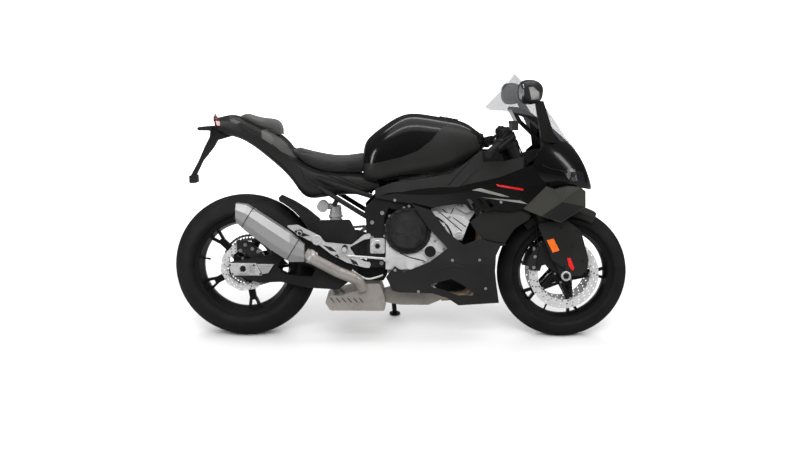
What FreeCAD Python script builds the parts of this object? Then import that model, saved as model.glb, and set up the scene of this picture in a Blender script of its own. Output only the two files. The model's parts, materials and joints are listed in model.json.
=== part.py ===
import FreeCAD
import Part
import math
import os

# Sport motorcycle, modelled upright and then set down leaning on its side stand.
# X points forward from the middle of the wheelbase, Y to the rider's left, Z up.

# Driving dimensions
wheelbase = 1457.0
seat_height = 830.0
rake_degrees = 23.6
fork_offset = 34.0
lean_degrees = 10.5
bead_seat_radius = 215.9
front_tyre_height = 84.0
front_tyre_width = 120.0
front_crown_radius = 60.0
rear_tyre_height = 110.0
rear_tyre_width = 198.0
rear_crown_radius = 104.0
crown_steps = 2
crown_edge_share = 0.985
running_gap = 0.3
moving_gap = 6.0
overrun = 30.0

# Widths, from the middle plane to one side
tank_half_width = 158.0
fairing_half_width = 205.0
nose_half_width = 195.0
winglet_half_width = 232.0
seat_half_width = 130.0
tail_half_width = 104.0
engine_half_width = 128.0
spar_inner = 130.0
spar_thickness = 22.0
plate_inner = 130.0
plate_thickness = 22.0
bar_half_width = 370.0
mirror_half_width = 424.0

# Wheels and brakes
front_rim_half_width = 44.5
rear_rim_half_width = 76.0
flange_thickness = 6.0
flange_height = 13.0
rim_inner_radius = 193.0
rim_lip_radius = 207.0
rim_well_half_width = 13.0
hub_radius = 38.0
front_hub_half_width = 62.0
rear_hub_half_width = 84.0
spoke_count = 5
front_spoke_degrees = -1.5
rear_spoke_degrees = -7.5
spoke_thickness = 26.0
spoke_stem_width = 30.0
spoke_arm_width = 12.0
spoke_root_width = 17.0
spoke_joint_radius = 110.0
spoke_fork_radius = 152.0
spoke_spread_degrees = 6.5
spoke_root_degrees = 34.0
axle_radius = 12.5
axle_bore_radius = 8.0
nut_radius = 22.0
front_disc_radius = 160.0
disc_band = 46.0
disc_thickness = 5.0
front_disc_inner = 69.0
rear_disc_radius = 110.0
rear_disc_inner = 87.0
disc_arm_width = 14.0

# Fork, bars and controls
fork_half_track = 106.0
fork_outer_radius = 27.0
fork_slider_radius = 22.0
fork_length = 712.0
fork_overlap_height = 240.0
axle_lug_radius = 24.0
axle_lug_length = 46.0
lower_clamp_height = 432.0
lower_clamp_thickness = 40.0
upper_clamp_height = 634.0
upper_clamp_thickness = 20.0
head_tube_radius = 34.0
stem_radius = 14.0
bar_clamp_height = 664.0
bar_clamp_thickness = 30.0
bar_clamp_wall = 8.0
bar_radius = 11.0
grip_radius = 17.0
grip_length = 125.0
bar_drop = 62.0
bar_sweep = 108.0
lever_thickness = 12.0
lever_reach = 52.0
reservoir_radius = 21.0
reservoir_height = 34.0

# Drive
chain_line = 117.0
chain_half_width = 9.0
sprocket_thickness = 7.0
rear_sprocket_radius = 106.0
front_sprocket_radius = 40.0
chain_height = 15.0
chain_seat = 0.4

# Stand
stand_length_side = 168.0
stand_leg_radius = 11.0
stand_foot_radius = 26.0
stand_foot_thickness = 7.0

front_tyre_radius = bead_seat_radius + front_tyre_height
rear_tyre_radius = bead_seat_radius + rear_tyre_height


def vector(x, y, z):
    return FreeCAD.Vector(x, y, z)


front_axle = vector(wheelbase / 2, 0, front_tyre_radius)
rear_axle = vector(-wheelbase / 2, 0, rear_tyre_radius)
rake = math.radians(rake_degrees)
steer_up = vector(-math.sin(rake), 0, math.cos(rake))
steer_forward = vector(math.cos(rake), 0, math.sin(rake))
steer_foot = front_axle - steer_forward * fork_offset
across = vector(0, 1, 0)


def place(shares, y):
    return vector(shares[0] * wheelbase, y, shares[1] * seat_height)


def fork_point(along, forward, y):
    return steer_foot + steer_up * along + steer_forward * forward + across * y


def polar(centre, radius, degrees, y):
    angle = math.radians(degrees)
    return centre + vector(radius * math.cos(angle), y, radius * math.sin(angle))


# Shape helpers
def rounded_wire(points, radius, closed):
    count = len(points)
    edges = []
    starts = []
    for i, point in enumerate(points):
        if not closed and i in (0, count - 1):
            starts.append((point, None, point))
            continue
        before = points[i - 1] - point
        after = points[(i + 1) % count] - point
        half = before.getAngle(after) / 2
        reach = min(before.Length, after.Length) * 0.45
        cut = min(radius / math.tan(half), reach)
        if cut < running_gap / 10 or math.pi / 2 - half < 0.01:
            starts.append((point, None, point))
            continue
        before.normalize()
        after.normalize()
        middle = (before + after).normalize()
        bow = cut / math.cos(half) - cut * math.tan(half)
        starts.append((point + before * cut, point + middle * bow, point + after * cut))
    last = count if closed else count - 1
    for i in range(count):
        first, bend, second = starts[i]
        if bend is not None:
            edges.append(Part.Arc(first, bend, second).toShape())
        if i < last:
            end = starts[(i + 1) % count][0]
            if (end - second).Length > running_gap / 100:
                edges.append(Part.LineSegment(second, end).toShape())
    return Part.Wire(edges)


def slab_from(points, direction, radius=0.0):
    if radius > 0:
        outline = rounded_wire(points, radius, True)
    else:
        outline = Part.makePolygon(points + points[:1])
    return Part.Face(outline).extrude(direction)


def slab(places, y_from, y_to, radius=0.0):
    points = [place(shares, y_from) for shares in places]
    return slab_from(points, across * (y_to - y_from), radius)


def wheel_slab(places, y_from, y_to):
    radius = front_tyre_radius
    points = [vector(front_axle.x + x * radius, y_from, z * radius) for x, z in places]
    return slab_from(points, across * (y_to - y_from))


def fork_slab(outline, y_from, y_to, radius=0.0):
    points = [fork_point(along, forward, y_from) for along, forward in outline]
    return slab_from(points, across * (y_to - y_from), radius)


def rod(start, end, radius):
    return Part.makeCylinder(radius, (end - start).Length, start, end - start)


def cone(start, end, radius_start, radius_end):
    return Part.makeCone(radius_start, radius_end, (end - start).Length, start, end - start)


def side_rod(centre, y_from, y_to, radius):
    low, high = sorted((y_from, y_to))
    return Part.makeCylinder(radius, high - low, vector(centre.x, low, centre.z), across)


def side_ring(centre, y_from, y_to, outer, inner):
    return side_rod(centre, y_from, y_to, outer).cut(
        side_rod(centre, y_from - overrun, y_to + overrun, inner))


def bent_tube(points, radius, bend, bore=0.0):
    path = rounded_wire(points, bend, False)
    start = points[0]
    heading = points[1] - points[0]
    ring = Part.Wire(Part.makeCircle(radius, start, heading))
    tube = path.makePipeShell([ring], True, True)
    if bore > 0:
        inner = Part.Wire(Part.makeCircle(bore, start, heading))
        tube = tube.cut(path.makePipeShell([inner], True, True))
    return tube


def fused(shapes):
    whole = shapes[0]
    if len(shapes) > 1:
        whole = whole.multiFuse(shapes[1:])
    return whole.removeSplitter()


def mirrored(shape):
    return shape.mirror(vector(0, 0, 0), across)


def turned_about(centre, profile):
    points = [vector(centre.x + radius, y, centre.z) for radius, y in profile]
    face = Part.Face(Part.makePolygon(points + points[:1]))
    return face.revolve(centre, across, 360)


def oval(x, z_low, z_high, half_width, power, waist):
    middle = z_low + (z_high - z_low) * waist
    points = []
    steps = 16
    for i in range(steps):
        angle = 2 * math.pi * i / steps
        c = math.cos(angle)
        s = math.sin(angle)
        rise = z_high - middle if s > 0 else middle - z_low
        y = half_width * math.copysign(abs(c) ** (2 / power), c)
        z = middle + rise * math.copysign(abs(s) ** (2 / power), s)
        points.append(vector(x, y, z))
    curve = Part.BSplineCurve()
    curve.interpolate(points, PeriodicFlag=True)
    return Part.Wire(curve.toShape())


def oval_loft(rows, half_width, power, inset=0.0, waist=1 / 2):
    wires = []
    for x_share, low_share, high_share, width_share in rows:
        wires.append(oval(x_share * wheelbase, low_share * seat_height + inset,
                          high_share * seat_height - inset,
                          width_share * half_width - inset, power, waist))
    return Part.makeLoft(wires, True, False)


# Panel lofted along X through upright section lines of height and width shares
def skin_panel(stations, half_width, thickness):
    wires = []
    for x_share, line in stations:
        outer = [vector(x_share * wheelbase, -w * half_width, z * seat_height) for z, w in line]
        inner = [point + across * thickness for point in reversed(outer)]
        wires.append(Part.makePolygon(outer + inner + outer[:1]))
    return Part.makeLoft(wires, True, False)


# Panel with flat facets: each face names its corners, all pushed in by one depth
def faceted_panel(corners, faces, depth):
    parts = []
    for face in faces:
        ring = [corners[name] for name in face]
        for i in range(1, len(ring) - 1):
            triangle = [ring[0], ring[i], ring[i + 1]]
            outline = Part.makePolygon(triangle + triangle[:1])
            parts.append(Part.Face(outline).extrude(across * depth))
    return fused(parts)


# Wheels
def crown_line(radius, width, crown_radius):
    edge = width / 2 * crown_edge_share
    line = []
    for step in range(-crown_steps, crown_steps + 1):
        y = edge * step / crown_steps
        line.append((radius - crown_radius + math.sqrt(crown_radius ** 2 - y ** 2), y))
    return line


def tyre(axle, radius, width, crown_radius, rim_half_width):
    wall_radius = bead_seat_radius + flange_height + 1.5 * running_gap

    def spot(r, y):
        return vector(axle.x + r, y, axle.z)

    edges = []
    outline = crown_line(radius, width, crown_radius)
    outline += [(wall_radius, rim_half_width), (bead_seat_radius, rim_half_width),
                (bead_seat_radius, -rim_half_width), (wall_radius, -rim_half_width), outline[0]]
    for first, second in zip(outline, outline[1:]):
        edges.append(Part.LineSegment(spot(*first), spot(*second)).toShape())
    return Part.Face(Part.Wire(edges)).revolve(axle, across, 360)


def bar_between(start, end, width, y_from, y_to):
    along = (end - start).normalize()
    side = along.cross(across) * (width / 2)
    base = across * y_from
    points = [start + side + base, end + side + base, end - side + base, start - side + base]
    return slab_from(points, across * (y_to - y_from))


def rim(axle, half_width, hub_half_width, bore, first_degrees):
    edge = half_width + flange_thickness
    flange_radius = bead_seat_radius + flange_height
    barrel = turned_about(axle, [
        (flange_radius, edge), (flange_radius, half_width), (bead_seat_radius, half_width),
        (bead_seat_radius, -half_width), (flange_radius, -half_width), (flange_radius, -edge),
        (rim_lip_radius, -edge), (rim_inner_radius, -rim_well_half_width),
        (rim_inner_radius, rim_well_half_width), (rim_lip_radius, edge)])
    hub = side_rod(axle, -hub_half_width, hub_half_width, hub_radius)
    pieces = [barrel, hub]
    half = spoke_thickness / 2
    rim_reach = rim_inner_radius + flange_thickness
    for i in range(spoke_count):
        angle = first_degrees + 360 / spoke_count * i
        joint = polar(axle, spoke_joint_radius, angle, 0)
        fork = polar(axle, spoke_fork_radius + spoke_stem_width / 2, angle, 0)
        pieces.append(bar_between(joint, fork, spoke_stem_width, -half, half))
        for side in (-1, 1):
            root = polar(axle, hub_radius - flange_thickness, angle + side * spoke_root_degrees, 0)
            knee = polar(axle, spoke_joint_radius + spoke_root_width, angle, 0)
            pieces.append(bar_between(root, knee, spoke_root_width, -half, half))
            start = polar(axle, spoke_fork_radius, angle + side * spoke_spread_degrees / 2, 0)
            tip = polar(axle, rim_reach, angle + side * spoke_spread_degrees, 0)
            pieces.append(bar_between(start, tip, spoke_arm_width, -half, half))
    whole = fused(pieces)
    return whole.cut(side_rod(axle, -hub_half_width - overrun, hub_half_width + overrun, bore))


def disc(axle, radius, y_inner, hub_half_width, side, first_degrees):
    y_from = side * y_inner
    y_to = side * (y_inner + disc_thickness)
    band = side_ring(axle, min(y_from, y_to), max(y_from, y_to), radius, radius - disc_band)
    collar_outer = hub_radius + flange_thickness
    collar = side_ring(axle, min(y_from, y_to), max(y_from, y_to), collar_outer, hub_radius - flange_thickness)
    pieces = [band, collar]
    for i in range(spoke_count):
        angle = first_degrees + 360 / spoke_count * i
        end = polar(axle, radius - disc_band + flange_thickness, angle, 0)
        for lead in (-1, 1):
            start = polar(axle, hub_radius, angle + lead * spoke_root_degrees, 0)
            pieces.append(bar_between(start, end, disc_arm_width, min(y_from, y_to), max(y_from, y_to)))
    hub_end = side * hub_half_width
    if abs(hub_end) < y_inner:
        pieces.append(side_ring(axle, min(hub_end, y_from), max(hub_end, y_from),
                                hub_radius - running_gap, hub_radius - flange_thickness))
    return fused(pieces)


def front_discs():
    pair = [disc(front_axle, front_disc_radius, front_disc_inner, front_hub_half_width, side,
                 front_spoke_degrees) for side in (-1, 1)]
    return Part.makeCompound(pair)


def axle_bar(axle, y_from, y_to, bore):
    bar = side_rod(axle, y_from, y_to, axle_radius)
    return bar.cut(side_rod(axle, y_from - overrun, y_to + overrun, bore))


# Steering parts
def fork_legs():
    legs = []
    overlap_along = fork_overlap_height
    for side in (-1, 1):
        y = side * fork_half_track
        slider = rod(fork_point(0, fork_offset, y), fork_point(fork_length, fork_offset, y), fork_slider_radius)
        sleeve = rod(fork_point(overlap_along, fork_offset, y), fork_point(fork_length, fork_offset, y),
                     fork_outer_radius)
        lug = side_rod(front_axle, y - axle_lug_length / 2, y + axle_lug_length / 2, axle_lug_radius)
        foot = fork_slab([(0, fork_offset - axle_lug_radius), (0, fork_offset + axle_lug_radius),
                          (2 * axle_lug_length, fork_offset + fork_slider_radius),
                          (2 * axle_lug_length, fork_offset - fork_slider_radius)],
                         y - fork_slider_radius, y + fork_slider_radius)
        ear = wheel_slab(caliper_ear_shares, side * (fork_half_track - fork_slider_radius + ear_thickness),
                   side * (fork_half_track - fork_slider_radius))
        leg = fused([slider, sleeve, lug, foot, ear])
        legs.append(leg.cut(side_rod(front_axle, y - axle_lug_length, y + axle_lug_length, axle_radius)))
    return Part.makeCompound(legs)


ear_thickness = 14.0
caliper_ear_shares = [(-0.0017, 1.0737), (-0.1284, 1.4005), (-0.2951, 1.5672), (-0.3551, 1.5172),
    (-0.4085, 1.3338), (-0.4285, 1.117), (-0.2951, 1.1504), (-0.095, 1.0003)]
caliper_half_degrees = 20.0
caliper_centre_degrees = 153.0
caliper_inner_radius = 112.0
caliper_outer_radius = 174.0
caliper_inner_y = 52.0
caliper_slot_gap = 2.5


def calipers():
    pair = []
    for side in (-1, 1):
        inner = side * caliper_inner_y
        outer = side * (fork_half_track - fork_slider_radius)
        ring = []
        bow = math.cos(math.radians(caliper_half_degrees / 2))
        for degrees in (-caliper_half_degrees, 0, caliper_half_degrees):
            ring.append(polar(front_axle, caliper_outer_radius / bow, caliper_centre_degrees + degrees, inner))
        for degrees in (caliper_half_degrees, 0, -caliper_half_degrees):
            ring.append(polar(front_axle, caliper_inner_radius, caliper_centre_degrees + degrees, inner))
        body = slab_from(ring, across * (outer - inner))
        y_from = side * (front_disc_inner - caliper_slot_gap)
        y_to = side * (front_disc_inner + disc_thickness + caliper_slot_gap)
        slot = side_rod(front_axle, y_from, y_to, front_disc_radius + 2 * caliper_slot_gap)
        pair.append(body.cut(slot))
    return Part.makeCompound(pair)


def triple_clamps():
    plates = []
    for low, thick in ((lower_clamp_height, lower_clamp_thickness),
        (upper_clamp_height, upper_clamp_thickness)):
        reach = fork_outer_radius + bar_clamp_wall
        plate = rod(fork_point(low, 0, 0), fork_point(low + thick, 0, 0), head_tube_radius)
        pieces = [plate]
        for side in (-1, 1):
            y = side * fork_half_track
            pieces.append(rod(fork_point(low, fork_offset, y), fork_point(low + thick, fork_offset, y), reach))
            corner = [fork_point(low, -head_tube_radius, 0),
                      fork_point(low, fork_offset + head_tube_radius / 2, 0),
                      fork_point(low, fork_offset + reach, y), fork_point(low, fork_offset - reach, y)]
            pieces.append(slab_from(corner, steer_up * thick))
        plates.append(fused(pieces))
    stem = rod(fork_point(lower_clamp_height, 0, 0),
               fork_point(upper_clamp_height + upper_clamp_thickness + bar_clamp_wall, 0, 0), stem_radius)
    whole = fused(plates + [stem])
    for side in (-1, 1):
        y = side * fork_half_track
        whole = whole.cut(rod(fork_point(0, fork_offset, y), fork_point(fork_length, fork_offset, y),
                              fork_outer_radius))
    return whole


def handlebar(side):
    y = side * fork_half_track
    low = fork_point(bar_clamp_height, fork_offset, y)
    high = fork_point(bar_clamp_height + bar_clamp_thickness, fork_offset, y)
    clamp = rod(low, high, fork_outer_radius + bar_clamp_wall)
    root = fork_point(bar_clamp_height + bar_clamp_thickness / 2, fork_offset, y)
    start = root + across * (side * (fork_outer_radius + bar_radius))
    end = vector(start.x - bar_sweep, side * bar_half_width, start.z - bar_drop)
    along = (end - start).normalize()
    tube = rod(start - along * bar_radius, end, bar_radius)
    grip = rod(end - along * grip_length, end, grip_radius)
    pod_end = end - along * (grip_length + bar_radius / 2)
    pod = rod(pod_end - along * (3 * bar_radius), pod_end, grip_radius + bar_radius / 2)
    weight = rod(end, end + along * bar_radius, grip_radius - bar_clamp_wall / 4)
    whole = fused([clamp, tube, grip, pod, weight])
    return whole.cut(rod(fork_point(0, fork_offset, y), fork_point(fork_length + overrun, fork_offset, y),
                         fork_outer_radius))


def lever(side):
    y = side * fork_half_track
    root = fork_point(bar_clamp_height + bar_clamp_thickness / 2, fork_offset, y)
    start = root + across * (side * (fork_outer_radius + bar_radius))
    end = vector(start.x - bar_sweep, side * bar_half_width, start.z - bar_drop)
    along = (end - start).normalize()
    ahead = across.cross(along).cross(along).normalize() * -1
    if ahead.x < 0:
        ahead = ahead * -1
    hinge = end - along * (grip_length + 5 * bar_radius)
    perch = slab_from([hinge - along * (2 * bar_radius), hinge + along * (2 * bar_radius),
                       hinge + along * (2 * bar_radius) + ahead * lever_reach,
                       hinge - along * (2 * bar_radius) + ahead * lever_reach],
                      along.cross(ahead).normalize() * lever_thickness)
    tip = end + ahead * (lever_reach * 0.9) - along * (2 * bar_radius)
    knee = hinge + ahead * lever_reach + along * (3 * bar_radius)
    blade = rod(knee - along * (4 * bar_radius), knee, lever_thickness / 2)
    blade_end = rod(knee, tip, lever_thickness / 2)
    ball = Part.makeSphere(lever_thickness * 0.6, tip)
    elbow = Part.makeSphere(lever_thickness / 2, knee)
    return fused([perch, blade, elbow, blade_end, ball]).cut(handlebar(side))


def brake_reservoir():
    y = -fork_half_track - reservoir_stand_out
    foot = fork_point(bar_clamp_height + bar_clamp_thickness, fork_offset + fork_outer_radius, -fork_half_track)
    seat = vector(foot.x, y, foot.z + reservoir_height / 4)
    cup = rod(seat, seat + vector(0, 0, reservoir_height), reservoir_radius)
    lid = rod(seat + vector(0, 0, reservoir_height), seat + vector(0, 0, reservoir_height * 1.25),
              reservoir_radius * 1.08)
    arm_start = fork_point(bar_clamp_height + bar_clamp_thickness / 2, fork_offset, -fork_half_track)
    arm = rod(arm_start, seat + vector(0, 0, reservoir_height / 2), bar_radius / 2)
    leg_foot = fork_point(0, fork_offset, -fork_half_track)
    leg_top = fork_point(fork_length + overrun, fork_offset, -fork_half_track)
    leg = rod(leg_foot, leg_top, fork_outer_radius + bar_clamp_wall / 2)
    return fused([cup, lid, arm]).cut(handlebar(-1)).cut(leg)


reservoir_stand_out = 50.0
fender_gap = 14.0
fender_wall = 4.0
fender_half_width = 77.0
fender_first_degrees = 62.0
fender_sweep_degrees = 68.0
fender_shoulder_share = 0.62
fender_side_depth = 52.0
guard_shares = [(-0.4351, 1.7472), (-0.0017, 1.8073), (0.2151, 1.6572), (0.3318, 1.2604),
    (0.3118, 1.1004), (0.2251, 1.007), (0.0784, 1.0003), (-0.0417, 1.127), (-0.2151, 1.2404),
    (-0.2951, 1.4338)]
guard_thickness = 5.0
guard_web_shares = [(-0.4285, 1.8006), (-0.0017, 1.8406), (0.2051, 1.6872), (0.1784, 1.6539),
    (-0.005, 1.7939), (-0.4285, 1.7539)]


def front_fender():
    outer = front_tyre_radius + fender_gap + fender_wall
    section = [(outer - fender_side_depth, fender_half_width),
        (outer - fender_side_depth / 2, fender_half_width),
               (outer - fender_wall, fender_half_width * fender_shoulder_share), (outer, 0),
               (outer - fender_wall, -fender_half_width * fender_shoulder_share),
                   (outer - fender_side_depth / 2, -fender_half_width),
               (outer - fender_side_depth, -fender_half_width)]
    inner = [(r - fender_wall, y * (fender_half_width - fender_wall) / fender_half_width) for r, y in section]
    start = math.radians(fender_first_degrees)
    heading = vector(math.cos(start), 0, math.sin(start))
    ring = [front_axle + heading * r + across * y for r, y in section + inner[::-1]]
    arch = Part.Face(Part.makePolygon(ring + ring[:1])).revolve(front_axle, across, -fender_sweep_degrees)
    pieces = [arch]
    for side in (-1, 1):
        inner_y = side * (fork_half_track + fork_outer_radius + fender_wall)
        guard = wheel_slab(guard_shares, inner_y, inner_y + side * guard_thickness)
        nut_room = nut_radius + moving_gap / 3
        guard = guard.cut(side_rod(front_axle, inner_y - overrun, inner_y + overrun, nut_room))
        web_root = side * (fender_half_width - fender_wall)
        web = wheel_slab(guard_web_shares, web_root, inner_y + side * guard_thickness)
        pieces += [guard, web]
    whole = fused(pieces)
    for side in (-1, 1):
        y = side * fork_half_track
        whole = whole.cut(rod(fork_point(0, fork_offset, y), fork_point(fork_length, fork_offset, y),
                              fork_outer_radius))
    return whole


# Frame, engine and swingarm
head_low = lower_clamp_height + lower_clamp_thickness + moving_gap
head_high = upper_clamp_height - moving_gap
pivot_shares = (-0.0872, 0.5229)
plate_shares = [(-0.1215, 0.6506), (-0.0666, 0.6747), (-0.0412, 0.7711), (-0.0824, 0.8048),
    (-0.127, 0.7229)]
plate_low_shares = [(-0.1215, 0.6566), (-0.0666, 0.6807), (-0.0631, 0.4072), (-0.1181, 0.4048)]
spar_shares = [(-0.0824, 0.7711), (-0.0412, 0.7229), (0.0412, 0.7108), (0.1716, 0.7711),
    (0.2416, 0.8313), (0.2622, 0.8434), (0.302, 0.9639), (0.2704, 1.0361), (0.2265, 1.0361),
    (0.1716, 0.9578), (0.0412, 0.8675), (-0.0755, 0.8313)]
spar_window_shares = [(0.0824, 0.7952), (0.1647, 0.8313), (0.1853, 0.9157), (0.0755, 0.8434)]


def frame():
    head = rod(fork_point(head_low, 0, 0), fork_point(head_high, 0, 0), head_tube_radius)
    pieces = [head]
    for side in (-1, 1):
        pieces.append(slab(spar_shares, side * spar_inner, side * (spar_inner + spar_thickness)))
        pieces.append(slab(plate_shares, side * plate_inner, side * (spar_inner + spar_thickness)))
        pieces.append(slab(plate_low_shares, side * plate_inner, side * (plate_inner + plate_thickness)))
        near = fork_point(head_low, -head_tube_radius * wing_root_share, 0)
        far = fork_point(head_high, -head_tube_radius * wing_root_share, 0)
        wing_reach = steer_forward * (wing_reach_share * head_tube_radius)
        wing = [near, far, far - wing_reach, near - wing_reach]
        pieces.append(slab_from(wing, across * (side * (spar_inner + spar_thickness))))
    whole = fused(pieces)
    for side in (-1, 1):
        whole = whole.cut(slab(spar_window_shares, side * (spar_inner - overrun),
                               side * (spar_inner + spar_thickness + overrun)))
    sweep = math.hypot(fork_half_track, fork_offset) + fork_outer_radius + bar_clamp_wall + moving_gap
    clear = rod(fork_point(-overrun, 0, 0), fork_point(fork_length + overrun, 0, 0), sweep)
    behind = -fork_outer_radius - overrun
    clear = clear.cut(fork_slab([(-2 * overrun, behind), (-2 * overrun, -2 * sweep),
        (2 * fork_length, -2 * sweep),
                                 (2 * fork_length, behind)], -2 * sweep, 2 * sweep))
    neck = fork_half_track / 2
    clear = clear.cut(fork_slab([(-2 * overrun, 0), (-2 * overrun, -2 * sweep),
        (2 * fork_length, -2 * sweep),
                                 (2 * fork_length, 0)], -neck, neck))
    whole = fused([whole.cut(clear), head])
    whole = whole.cut(rod(fork_point(0, 0, 0), fork_point(fork_length, 0, 0), stem_radius + running_gap))
    pivot = place(pivot_shares, 0)
    reach = plate_inner + plate_thickness + overrun
    return whole.cut(side_rod(pivot, -reach, reach, pivot_bolt_radius))


wing_root_share = 0.7
wing_reach_share = 2.2
pivot_bolt_radius = 12.0
pivot_nut_radius = 20.0
pivot_tube_radius = 25.0
crankcase_shares = [(-0.0604, 0.3976), (-0.0604, 0.5663), (-0.0275, 0.6386), (0.0275, 0.6747),
    (0.1235, 0.6506), (0.162, 0.5663), (0.1592, 0.4578), (0.1304, 0.3976)]
sump_shares = [(-0.0604, 0.4036), (0.1345, 0.4036), (0.1304, 0.3614), (0.0824, 0.2843),
    (-0.0069, 0.2795), (-0.048, 0.3494)]
gearbox_notch_shares = [(-0.0824, 0.3614), (-0.0824, 0.7229), (0.0288, 0.7229), (0.0288, 0.3614)]
cylinder_shares = [(0.0206, 0.6506), (0.0412, 0.7831), (0.0892, 0.8494), (0.1798, 0.8434),
    (0.221, 0.7229), (0.162, 0.5759), (0.1235, 0.6024)]
cover_seat = 164.0
sump_half_width = 118.0
gearbox_left = 101.0
head_cover_shares = [(0.0851, 0.7157), (0.1798, 0.6867), (0.1963, 0.6578), (0.1867, 0.6145),
    (0.1743, 0.5566), (0.1551, 0.5542), (0.14, 0.6012), (0.1057, 0.6542), (0.0769, 0.6892)]
head_cover_depth = 22.0
engine_mount_share = (0.0577, 0.7711)
engine_mount_radius = 14.0
head_bolt_share = (0.1647, 0.5831)
head_bolt_radius = 20.0
pump_cap_share = (0.0755, 0.4988)
pump_cap_radius = 30.0
cap_share = 0.68
crank_cap_share = (0.0165, 0.4241)
crank_cap_radius = 21.0
case_rib_share = (-0.0453, 0.4048)
case_rib_count = 5
case_rib_pitch = 14.0
case_rib_width = 4.0
case_rib_depth = 5.0
case_rib_height = 52.0


def engine_block():
    case = slab(crankcase_shares, -cover_seat, cover_seat)
    notch = slab(gearbox_notch_shares, gearbox_left, cover_seat + overrun)
    sump = slab(sump_shares, -sump_half_width, gearbox_left)
    head = slab(cylinder_shares, -engine_half_width, engine_half_width)
    pieces = [case.cut(notch), head, sump]
    pieces.append(slab(head_cover_shares, -engine_half_width, -engine_half_width - head_cover_depth))
    mount = place(engine_mount_share, 0)
    for side in (-1, 1):
        pieces.append(side_rod(mount, side * engine_half_width, side * spar_inner, engine_mount_radius))
    bolt = place(head_bolt_share, 0)
    bolt_seat = -engine_half_width - head_cover_depth
    pieces.append(side_rod(bolt, bolt_seat, bolt_seat - cover_flange, head_bolt_radius))
    pump = place(pump_cap_share, 0)
    pieces.append(side_rod(pump, -cover_seat, -cover_seat - cover_flange, pump_cap_radius))
    pump_front = -cover_seat - cover_flange
    pieces.append(side_rod(pump, pump_front, pump_front - cover_flange / 2, pump_cap_radius * cap_share))
    crank = place(crank_cap_share, 0)
    pieces.append(side_rod(crank, -cover_seat, -cover_seat - cover_flange, crank_cap_radius))
    for i in range(case_rib_count):
        foot = place(case_rib_share, 0) + vector(case_rib_pitch * i, 0, 0)
        rib = Part.makeBox(case_rib_width, case_rib_depth, case_rib_height,
                           vector(foot.x, -cover_seat - case_rib_depth, foot.z))
        pieces.append(rib)
    return fused(pieces)


clutch_centre_share = (0.0069, 0.6084)
clutch_radius = 88.0
clutch_flange_radius = 104.0
cover_dome = 20.0
cover_flange = 12.0


def side_cover(centre_share, side, radius, flange_radius, base_y, depth):
    centre = place(centre_share, 0)
    flange = side_rod(centre, side * base_y, side * (base_y + cover_flange), flange_radius)
    low = vector(centre.x, side * (base_y + cover_flange), centre.z)
    high = vector(centre.x, side * (base_y + cover_flange + depth), centre.z)
    dome = cone(low, high, radius, radius - depth / 2)
    return fused([flange, dome])


alternator_share = (0.0652, 0.494)
alternator_radius = 70.0


def clutch_cover():
    return side_cover(clutch_centre_share, -1, clutch_radius, clutch_flange_radius, cover_seat, 3 * cover_dome)


def alternator_cover():
    return side_cover(alternator_share, 1, alternator_radius, alternator_radius + cover_flange, cover_seat,
                      cover_dome / 4)


sprocket_centre_share = (-0.0206, 0.5446)


sprocket_cover_shares = [(-0.0604, 0.4843), (-0.0604, 0.5904), (-0.0412, 0.6169), (0.0288, 0.6169),
    (0.0288, 0.4964), (-0.0275, 0.4578)]


def sprocket_cover():
    y_from = chain_line + 1.6 * chain_half_width
    return slab(sprocket_cover_shares, y_from, y_from + cover_dome)


def swingarm():
    pivot = place(pivot_shares, 0)
    tube = side_rod(pivot, -plate_inner, plate_inner, pivot_tube_radius)
    right = slab(arm_side_shares, -arm_rear_y, -arm_rear_y - arm_thickness, arm_corner)
    front_right = slab(arm_front_shares, -arm_front_y, -plate_inner + moving_gap)
    left_inner = chain_line + chain_half_width + moving_gap
    left = slab(arm_left_shares, left_inner, left_inner + arm_left_thickness, arm_corner)
    cross = slab(arm_cross_shares, -arm_rear_y - arm_thickness / 2, left_inner + arm_left_thickness / 2)
    box = slab(arm_box_shares, -arm_front_y - arm_thickness / 2, arm_left_inner)
    whole = fused([tube, right, front_right, left, cross, box])
    for side in (-1, 1):
        slot_from = side * (arm_rear_y - overrun)
        whole = whole.cut(slab(arm_slot_shares, slot_from, slot_from + side * 3 * overrun, arm_slot_corner))
    whole = whole.cut(side_rod(rear_axle, -2 * rear_tyre_width, 2 * rear_tyre_width, axle_radius))
    whole = whole.cut(side_rod(pivot, -2 * plate_inner, 2 * plate_inner, pivot_bolt_radius))
    return whole


arm_thickness = 26.0
arm_left_thickness = 20.8
arm_corner = 12.0
arm_slot_corner = 8.0
arm_rear_y = 112.0
arm_front_y = 92.0
arm_left_inner = 100.0
arm_side_shares = [(-0.5436, 0.3614), (-0.5436, 0.4241), (-0.4393, 0.4578), (-0.3569, 0.506),
    (-0.269, 0.6566), (-0.1716, 0.6602), (-0.1476, 0.5783), (-0.1476, 0.3614), (-0.2059, 0.2795),
    (-0.302, 0.2892), (-0.3844, 0.3205), (-0.453, 0.3157)]
arm_front_shares = [(-0.0686, 0.4867), (-0.0686, 0.559), (-0.1476, 0.6024), (-0.2265, 0.6024),
    (-0.2265, 0.3976), (-0.1476, 0.4578)]
arm_left_shares = [(-0.5436, 0.3614), (-0.5436, 0.4241), (-0.4393, 0.4482), (-0.2745, 0.4819),
    (-0.2059, 0.506), (-0.2059, 0.4241), (-0.2883, 0.4048), (-0.453, 0.3253)]
arm_cross_shares = [(-0.2642, 0.512), (-0.2059, 0.5301), (-0.2059, 0.4036), (-0.2642, 0.3976)]
arm_box_shares = [(-0.2642, 0.5181), (-0.2334, 0.5663), (-0.0755, 0.5518), (-0.0755, 0.494),
    (-0.2334, 0.4036), (-0.2642, 0.4217)]
arm_slot_shares = [(-0.3844, 0.4482), (-0.3253, 0.4217), (-0.2745, 0.3976), (-0.2883, 0.3494),
    (-0.3741, 0.3614), (-0.3946, 0.3976)]


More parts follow.
